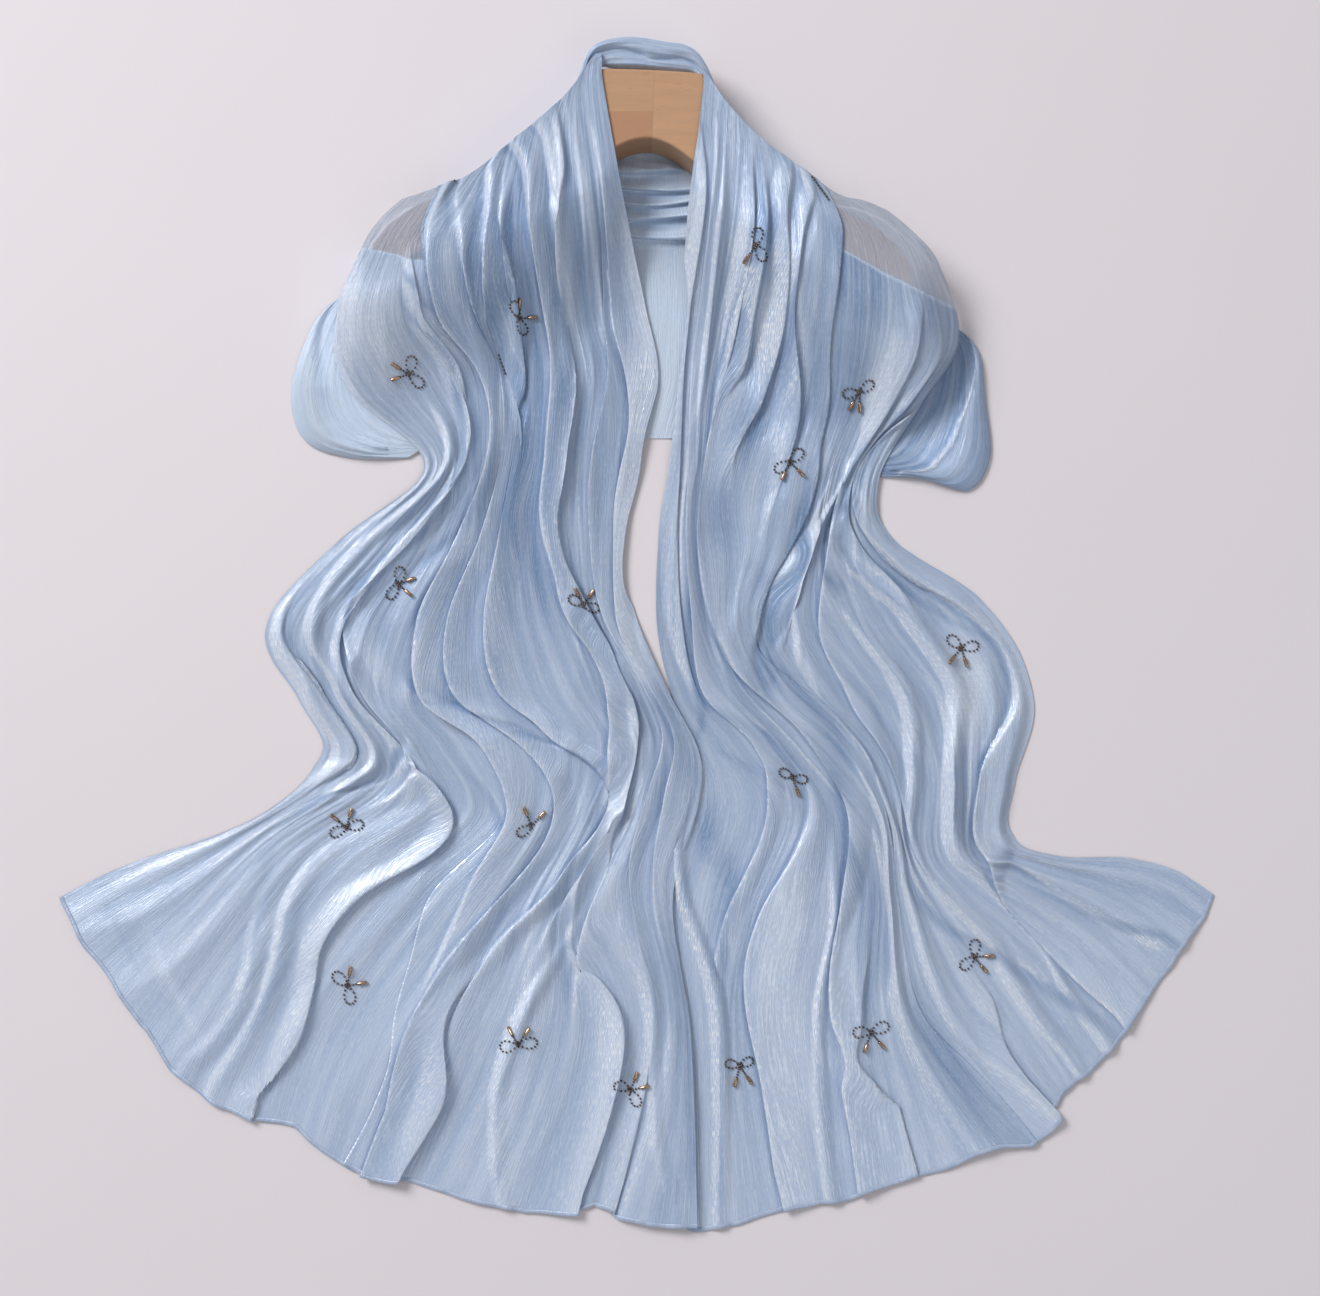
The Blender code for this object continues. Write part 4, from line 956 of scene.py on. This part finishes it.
# %% Back drape
# Each row: y of the row, and x of its left and right ends, in mm
BACK_PLAN = (
    (388.0, -38.0, 52.0), (366.0, -66.0, 76.0), (340.0, -94.0, 106.0), (316.0, -132.0, 136.0),
    (285.0, -150.0, 172.0), (240.0, -158.0, 180.0), (190.0, -150.0, 176.0), (BACK_END, -130.0, 140.0),
)
# Each swag: y, half width and height in mm, and how far its cloth is drawn down
BACK_SWAGS = (
    (347.0, 8.0, 5.5, 4.0), (333.5, 6.0, 6.0, 5.0), (324.0, 5.0, 6.0, 5.0),
    (313.0, 7.0, 6.5, 6.0), (299.5, 8.5, 6.5, 6.5),
)
BACK_MIDDLE = 12.0


def back_points():
    """The cloth behind: its points, and the y of each of its rows before the swags draw it down."""
    plan = np.asarray(BACK_PLAN)
    down = np.linspace(388.0, BACK_END, 220)
    across = np.linspace(0.0, 1.0, 110)
    left = np.interp(-down, -plan[:, 0], plan[:, 1])
    right = np.interp(-down, -plan[:, 0], plan[:, 2])
    x = left[:, None] + (right - left)[:, None] * across[None, :]
    y = np.tile(down[:, None], (1, len(across)))
    z = np.zeros_like(x)
    slide = np.zeros_like(x)
    middle = np.exp(-((x - BACK_MIDDLE) / 70.0) ** 2)
    for number, (y0, half, height, drop) in enumerate(BACK_SWAGS):
        line = y0 + 1.6 * np.sin(x / 21.0 + number * 2.1)
        d = (y - line) / half
        bump = np.cos(0.5 * math.pi * np.clip(np.abs(d), 0.0, 1.0)) ** 2 * middle
        z = np.maximum(z, height * bump)
        slide -= drop * bump
    z = z + 0.35 * np.sin(y * 1.7 + 2.0 * np.sin(x / 17.0)) * ramp(y, 285.0, 12.0) * middle
    rise = np.interp(down, (275.0, 300.0, 345.0, 388.0), (0.0, 3.0, 7.0, 0.0))[:, None]
    y = y + slide + rise * np.clip((x - BACK_MIDDLE) / 60.0, -1.0, 1.0) ** 2
    z = z * ramp(past_hanger(x, y)[1], 2.0, 7.0)
    return np.stack([x, y, z + SHEET_MIDDLE], axis=2), down


points, down = back_points()
across = np.tile(np.linspace(0.0, 0.35, points.shape[1])[None, :], (points.shape[0], 1))
layers = np.interp(down, (285.0, 297.0), (1.0, 3.2))[:, None]
# The drape behind takes the paler chiffon, painted lighter against the shade under the hanger
cloth_piece("cloth_back", points, across, layers, painted_light_cloth, "back_drape")

# %% [markdown]
# ## The band behind the neck
# The scarf goes round the hanger's neck in one gathered band, which then runs down both fronts.

# %% Neck band
# Each row: inner x, y and outer x, y of the band in mm, how far it hangs behind the hanger, and
# how far out the crease between its two folds lies
NECK_LINE = (
    (-21.2, 388.7, -41.6, 385.7, 0, 0.6),
    (-24.1, 400.3, -42.3, 400.3, 0, 0.7),
    (-25.5, 409.8, -38.7, 413.5, 0.25, 0.72),
    (-23.3, 413.5, -32.8, 425.9, 0.8, 0.72),
    (-16.8, 413.1, -22.6, 432.1, 1, 0.68),
    (-5.8, 412.7, -8.0, 434.6, 1, 0.6),
    (3.7, 412.4, 3.7, 434.3, 1, 0.45),
    (11.0, 412.0, 11.7, 433.2, 1, 0.32),
    (19.7, 411.3, 21.9, 431.3, 1, 0.38),
    (31.4, 410.2, 35.8, 429.2, 1, 0.48),
    (41.6, 409.1, 46.0, 423.0, 1, 0.42),
    (48.2, 403.3, 54.0, 410.6, 0.4, 0.35),
    (50.4, 394.5, 59.8, 394.5, 0, 0.3),
)
# Share of the width that shows, height of the lower fold, and how far the upper fold stands above it
NECK_OUT, NECK_LOW, NECK_ROLL = 0.86, 32.0, 4.6


def neck_points():
    """The gathered band: two rounded folds with a crease between them, turned under behind."""
    table = np.asarray(NECK_LINE, float)
    station = np.linspace(0.0, len(table) - 1.0, 150)
    rows = spline(np.arange(len(table)), table, station)
    t = np.linspace(0.0, 1.0, 64)
    inner, outer = rows[:, 0:2], rows[:, 2:4]
    share = np.interp(t, (0.0, NECK_OUT, 1.0), (0.0, 1.0, 0.82))
    xy = inner[:, None, :] + (outer - inner)[:, None, :] * share[None, :, None]
    crease = rows[:, 5:6] * NECK_OUT
    t = t[None, :]
    sheet = NECK_LOW - 3.0 * (1.0 - smooth(t / 0.10)) + 1.3 * np.sin(math.pi * np.clip(t / crease, 0.0, 1.0))
    over = np.clip((t - crease) / (NECK_OUT - crease), 0.0, 1.0)
    roll = NECK_LOW + NECK_ROLL * np.sin(math.pi * 0.86 * over ** 0.75) ** 0.8
    tube = np.where(t < crease, sheet, roll)
    tube = np.where(t > NECK_OUT, np.interp(t, (NECK_OUT, 0.90, 0.94, 1.0), (33.5, 22.0, 12.0, 5.0)), tube)
    tube = soften(tube)
    behind = np.clip(rows[:, 4], 0.0, 1.0)[:, None]
    under = CLOTH_TOP - 1.6 - 3.0 * smooth(1.0 - np.minimum(station, station[-1] - station) / 1.5)[:, None]
    z = tube * behind + under * (1.0 - behind)
    fine = 0.3 * np.sin(t * 30.0 + 1.6 * np.sin(station[:, None] * 0.9)) * (t < 0.82) * behind
    return np.concatenate([xy, (z + fine)[..., None]], axis=2), np.tile(t * 0.12, (len(station), 1))


points, across = neck_points()
cloth_piece("cloth_neck", points, across, 2.4, chiffon, "neck_band")

# %% [markdown]
# ## Hems
# The cut ends are rolled and sewn: a narrow band, a little deeper in colour because it is folded.

# %% Rolled hems
HEM_WIDTH = 3.2


def hem_strip(points):
    """A band along the last row of a sheet, rounded on top."""
    end, flow = points[-1], unit(points[-1] - points[-4])
    rows = []
    for share in np.linspace(0.0, 1.0, 6):
        rise = 0.3 + 0.45 * math.sin(math.pi * share) ** 0.7
        rows.append(end - flow * (HEM_WIDTH * (1.0 - share)) + np.array([0.0, 0.0, rise]))
    return np.stack(rows)


# The shoulder's first columns lie under the front, so its hem starts past them
for side in ("left", "right"):
    for part, skip in (("front_", 0), ("shoulder_", 22)):
        points, across = ENDS[part + side]
        strip = hem_strip(points[:, skip:])
        cloth_piece("rolled_hem_" + part + side, strip, np.tile(across[-1, skip:], (len(strip), 1)), 2.5,
                    hem_cloth, "hem_" + part + side)

# %% [markdown]
# ## Beaded bows
# Small bows are sewn over the cloth: two loops and two tails of dark metal beads, with a metal
# bar at the end of each tail. Each bead is a small sphere with few faces, and each one is set
# down on the cloth under it, so a bow bends with its pleat.

# %% Find the cloth under a point
bpy.context.view_layer.update()
graph = bpy.context.evaluated_depsgraph_get()
cloth_trees = [BVHTree.FromObject(thing, graph) for name, thing in PIECES.items() if name.startswith("cloth")]


def cloth_at(x, y):
    """Highest cloth under a point given in the frame, in metres."""
    best = 0.0
    for tree in cloth_trees:
        hit = tree.ray_cast(Vector((x, y, 0.2)), Vector((0.0, 0.0, -1.0)))
        if hit[0] is not None and hit[0].z > best:
            best = hit[0].z
    return best


# %% Metal and bead materials
def metal_material(name, colour, rough):
    made, tree, shader = new_material(name)
    noise = noise_of(tree, node(tree, "ShaderNodeTexCoord").outputs["Object"], 900.0, 2.0)
    pale = tuple(min(1.0, c * 2.2) for c in colour)
    tree.links.new(mixed(tree, ranged(tree, noise, 0.35, 0.65, 0.0, 1.0), colour, pale),
                   shader.inputs["Base Color"])
    tree.links.new(ranged(tree, noise, 0.3, 0.7, rough, rough + 0.15), shader.inputs["Roughness"])
    shader.inputs["Metallic"].default_value = 0.85
    return made


bead_metal = metal_material("bead_metal", (0.085, 0.068, 0.062), 0.18)
bar_metal = metal_material("bar_metal", (0.26, 0.175, 0.12), 0.16)

# %% Bows, and runs of beads on pleats that hide the rest of a bow
# Each run: x, y of its two ends in mm, and how many beads
BEAD_RUNS = (((128.9, 331.1), (140.6, 315.0), 9), ((-101.2, 205.8), (-96.8, 192.7), 6),
             ((-131.0, 328.5), (-124.5, 333.0), 4))
# Each row: x, y in mm, loop directions in degrees, their reach in mm, tail directions, tail length in mm
BOWS = (
    (-167.4, 191.3, (75, -40), 13, (150, 200), 7),
    (-85.9, 232.1, (-70, 110), 12, (85, 5), 7),
    (87.4, 280.8, (80, -55), 13, (-125,), 8),
    (114.6, 126.7, (45, -150), 13, (-45, -115), 8),
    (242.1, -11.2, (138, 10), 13, (-72, -130), 8),
    (-176.7, 36.3, (80, -125), 13, (20, -40), 7),
    (-38.8, 20.7, (-15, 150), 12, (115, 55), 7),
    (-215.3, -144.6, (205, 12), 13, (140, 73), 8),
    (-214.5, -262.5, (135, -78), 14, (78, 10), 8),
    (-87.0, -305.5, (190, 5), 14, (120, 55), 8),
    (-77.4, -143.1, (215,), 12, (110, 45), 8),
    (-4.0, -340.3, (155, -60), 13, (68, 15), 8),
    (77.6, -322.5, (165, 30), 11, (-105, -55), 9),
    (175.4, -297.3, (175, 25), 14, (-110, -50), 9),
    (251.8, -241.0, (85, -140), 13, (5, -50), 8),
    (116.8, -107.5, (150, -10), 11, (-70,), 8),
    (165.5, 178.0, (35, 185), 12, (-85, -120), 8),
)
# Radius of a bead and the step between beads of a tail, then a bar's length and width, all in mm
BEAD, BEAD_STEP = 0.88, 2.2
BAR_LENGTH, BAR_WIDTH = 6.8, 2.7
BEAD_SEAT, BAR_SEAT = 0.66, 1.5
KNOT = [(0.0, 0.0), (1.6, 0.9), (-1.5, 0.9), (0.0, 1.9), (0.2, -1.7)]


def loop_line(reach, open_width, turn, count):
    """Beads round a teardrop loop that starts and ends at the knot, in mm."""
    line = []
    for k in range(1, count):
        a = 2.0 * math.pi * k / count
        x = reach * (1.0 - math.cos(a)) / 2.0
        y = open_width * math.sin(a) * math.sin(a / 2.0) ** 0.8
        line.append((x * math.cos(turn) - y * math.sin(turn), x * math.sin(turn) + y * math.cos(turn)))
    return line


def bow_lines(loop_turns, loop_reach, tail_turns, tail_reach):
    """Places of the beads round the knot, and of the bars (how far out, and at what angle)."""
    beads, bars = list(KNOT), []
    for turn in loop_turns:
        beads += loop_line(loop_reach, loop_reach * 0.36, math.radians(turn), 13)
    for turn in tail_turns:
        a = math.radians(turn)
        for k in range(1, int(tail_reach / BEAD_STEP) + 1):
            beads.append((BEAD_STEP * k * math.cos(a), BEAD_STEP * k * math.sin(a)))
        bars.append((tail_reach, a))
    return beads, bars


def seated(x, y, above):
    """The point in metres on the cloth at a place given in mm, raised by some mm."""
    x, y = (x + SETTLE[0]) * MM, (y + SETTLE[1]) * MM
    return Vector((x, y, cloth_at(x, y) + above * MM))


def bead_string(places):
    """A mesh with a bead at each place."""
    bm = bmesh.new()
    for x, y in places:
        made = bmesh.ops.create_uvsphere(bm, u_segments=7, v_segments=5, radius=BEAD * MM)
        bmesh.ops.translate(bm, verts=made["verts"], vec=seated(x, y, BEAD_SEAT))
    return mesh_of(bm, "part")


def bar_between(start, end, radius):
    """A short tube with softened ends, from one point to another."""
    bm = bmesh.new()
    along = end - start
    bmesh.ops.create_cone(bm, segments=12, cap_ends=True, radius1=radius, radius2=radius, depth=along.length)
    rims = [e for e in bm.edges if abs(e.verts[0].co.z - e.verts[1].co.z) < 1e-9]
    bmesh.ops.bevel(bm, geom=rims, offset=radius * 0.3, affect="EDGES", segments=2, profile=0.5, material=-1)
    turn = along.to_track_quat("Z", "Y").to_matrix()
    bmesh.ops.rotate(bm, verts=bm.verts, cent=(0.0, 0.0, 0.0), matrix=turn)
    bmesh.ops.translate(bm, verts=bm.verts, vec=(start + end) / 2.0)
    return mesh_of(bm, "part")


def piece_of(name, parts, material):
    """Joins the meshes of all bows, one after the other, into one piece."""
    whole = bmesh.new()
    for part in parts:
        whole.from_mesh(part)
        bpy.data.meshes.remove(part)
    mesh = mesh_of(whole, name)
    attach(placed_object(name, mesh, material), "root")
    print(name, len(mesh.polygons), "faces")


bead_parts, bar_parts = [], []
for x0, y0, loops, reach, tails, tail in BOWS:
    beads, bars = bow_lines(loops, reach, tails, tail)
    bead_parts.append(bead_string([(x0 + bx, y0 + by) for bx, by in beads]))
    for r, a in bars:
        ends = [seated(x0 + far * math.cos(a), y0 + far * math.sin(a), BAR_SEAT)
                for far in (r, r + BAR_LENGTH)]
        bar_parts.append(bar_between(*ends, BAR_WIDTH / 2.0 * MM))
for start, end, count in BEAD_RUNS:
    steps = [np.interp(range(count), (0, count - 1), ends) for ends in zip(start, end)]
    bead_parts.append(bead_string(zip(*steps)))
piece_of("bow_beads", bead_parts, bead_metal)
piece_of("bow_bars", bar_parts, bar_metal)

# %% [markdown]
# ## The hanger's wood
# The hanger is pale beech, glued from two halves, with a fine grain along each half.

# %% Wood material for both halves
BLOCK_TOP = 0.3825


def wood_material(name, light, dark, turn, block):
    """Beech with its grain turned by some degrees. A darker glued block lies below BLOCK_TOP, if given."""
    made, tree, shader = new_material(name)
    place = node(tree, "ShaderNodeTexCoord").outputs["Object"]
    scale = node(tree, "ShaderNodeMapping", Vector=place, Scale=(18.0, 160.0, 60.0),
                 Rotation=(0.0, 0.0, math.radians(turn))).outputs["Vector"]
    grain = noise_of(tree, scale, 1.0, 6.0, 0.6)
    pores = noise_of(tree, scale, 6.0, 3.0)
    base = mixed(tree, ranged(tree, grain, 0.3, 0.7, 0.0, 1.0), light, dark)
    base = mixed(tree, ranged(tree, pores, 0.62, 0.75, 0.0, 0.5), base, (0.30, 0.16, 0.08))
    if block is not None:
        height = node(tree, "ShaderNodeSeparateXYZ", Vector=place).outputs["Y"]
        lower = ranged(tree, height, BLOCK_TOP - 0.0004, BLOCK_TOP + 0.0004, 0.65, 0.0)
        base = mixed(tree, lower, base, block)
    tree.links.new(base, shader.inputs["Base Color"])
    tree.links.new(ranged(tree, grain, 0.3, 0.7, 0.42, 0.55), shader.inputs["Roughness"])
    tree.links.new(bumped(tree, 0.2, 0.0005, grain), shader.inputs["Normal"])
    return made


# %% Two glued halves, rounded everywhere but at the joint
# Each row: how far out along the arm, and how far down its top and its lower edge are, in mm
HANGER_ROWS = ((14.0, 0.2, 53.0), (28.0, 0.5, 61.0), (37.0, 1.2, 67.8), (42.0, 8.0, 71.5), (63.0, 31.0, 86.0),
               (82.0, 49.0, 98.0), (104.0, 68.0, 110.0), (136.0, 92.0, 128.0), (168.0, 107.0, 144.0),
               (186.0, 121.0, 155.0), (197.0, 136.0, 158.0))
HANGER_BASE, HANGER_THICK, JOINT, JOINT_GAP, ROUNDING, DRAFT = 2.2, 33.0, 2.6, 0.03, 1.8, 4.0


def hanger_place(along, drop):
    """Point in metres on the table, from mm along the hanger's arm and mm down from its top."""
    x = HANGER_CENTRE[0] + along * TILT_COS + drop * TILT_SIN + SETTLE[0]
    y = HANGER_CENTRE[1] + along * TILT_SIN - drop * TILT_COS + SETTLE[1]
    return x * MM, y * MM


def hanger_half(name, side, material):
    """One half of the hanger: a strip of faces, raised to its thickness, with rounded edges."""
    at = JOINT + side * JOINT_GAP
    full = [(-d, top, low) for d, top, low in HANGER_ROWS[::-1]] + [(0.0, 0.0, 50.0)] + list(HANGER_ROWS)
    full = np.asarray(full)
    ends = [at] + [row[0] for row in full[::int(side)] if side * (row[0] - at) > 1.0]
    along = np.concatenate([np.linspace(a, b, 5)[:-1] for a, b in zip(ends, ends[1:])] + [[ends[-1]]])
    top = np.interp(along, full[:, 0], full[:, 1])
    low = spline(full[:, 0], full[:, 2:3], along)[:, 0]
    bm = bmesh.new()
    bmesh.ops.create_grid(bm, x_segments=len(along) - 1, y_segments=1, size=0.5)
    low_side = set()
    for vert in bm.verts:
        k = int(round((vert.co.x + 0.5) * (len(along) - 1)))
        is_low = vert.co.y < 0.0
        vert.co = (*hanger_place(along[k], low[k] + DRAFT if is_low else top[k]), HANGER_BASE * MM)
        if is_low:
            low_side.add((round(vert.co.x, 6), round(vert.co.y, 6)))
    raised = bmesh.ops.extrude_face_region(bm, geom=bm.faces[:])["geom"]
    for vert in (g for g in raised if isinstance(g, bmesh.types.BMVert)):
        if (round(vert.co.x, 6), round(vert.co.y, 6)) in low_side:
            vert.co += Vector((-DRAFT * TILT_SIN * MM, DRAFT * TILT_COS * MM, 0.0))
        vert.co.z += HANGER_THICK * MM
    bmesh.ops.recalc_face_normals(bm, faces=bm.faces)
    middle = Vector((*hanger_place(at, 0.0), 0.0))
    away = Vector((side * TILT_COS, side * TILT_SIN, 0.0))
    sharp = [e for e in bm.edges if len(e.link_faces) == 2 and e.calc_face_angle() > 0.9
             and any((v.co - middle).dot(away) > 0.2 * MM for v in e.verts)]
    bmesh.ops.bevel(bm, geom=sharp, offset=ROUNDING * MM, affect="EDGES", segments=4, profile=0.5,
                    material=-1, clamp_overlap=True)
    for edge in bm.edges:
        edge.smooth = len(edge.link_faces) == 2 and edge.calc_face_angle() < 0.6
    mesh = mesh_of(bm, name)
    thing = placed_object(name, mesh, material)
    mod = thing.modifiers.new("Weighted", "WEIGHTED_NORMAL")
    mod.keep_sharp = True
    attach(thing, "root")
    print(name, len(mesh.polygons), "faces")
    return thing


for side_name, side, light, dark, turn, block in (
        ("left", -1.0, (0.52, 0.31, 0.175), (0.46, 0.265, 0.15), 6.0, (0.42, 0.21, 0.115)),
        ("right", 1.0, (0.54, 0.315, 0.18), (0.48, 0.28, 0.158), -9.0, None)):
    wood = wood_material("beech_" + side_name, light, dark, turn, block)
    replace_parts(hanger_half("wood_" + side_name, side, wood), "hanger_" + side_name)

# %% [markdown]
# ## The size of the cloth
# The whole scarf is one piece, 0.70 m by 1.80 m. What shows is less, because most of its width
# is gathered in folds.

# %% [markdown]
# ## Floor and light
# A plain pale surface and soft light from the upper left, as in a small studio.

# %% Floor, lights and background
def floor_material():
    made, tree, shader = new_material("pale_floor")
    noise = noise_of(tree, node(tree, "ShaderNodeTexCoord").outputs["Object"], 3.0, 3.0)
    tint = ranged(tree, noise, 0.3, 0.7, 0.0, 1.0)
    tree.links.new(mixed(tree, tint, (0.74, 0.695, 0.72), (0.75, 0.705, 0.73)), shader.inputs["Base Color"])
    shader.inputs["Roughness"].default_value = 0.8
    return made


bm = bmesh.new()
bmesh.ops.create_grid(bm, x_segments=1, y_segments=1, size=4.0)
floor = placed_object("floor", mesh_of(bm, "floor"), floor_material(), smooth_faces=False)
floor.location = (0.0, 0.0, -0.0005)


def soft_light(name, place, aim, size, power, colour):
    light = bpy.data.lights.new(name, "AREA")
    light.shape = "DISK"
    light.size = size
    light.energy = power
    light.color = colour
    thing = bpy.data.objects.new(name, light)
    thing.location = place
    thing.rotation_euler = (Vector(aim) - Vector(place)).to_track_quat("-Z", "Y").to_euler()
    scene.collection.objects.link(thing)


soft_light("window", (-3.1, 2.75, 3.0), (0.0, 0.0, 0.0), 2.3, 225.0, (1.0, 0.985, 0.99))
soft_light("fill", (1.4, -1.4, 2.8), (0.0, 0.0, 0.0), 2.4, 14.0, (0.98, 0.98, 1.0))
world = bpy.data.worlds.new("studio")
world.use_nodes = True
background = world.node_tree.nodes["Background"]
background.inputs["Color"].default_value = (0.95, 0.96, 1.0, 1.0)
background.inputs["Strength"].default_value = 0.38
scene.world = world
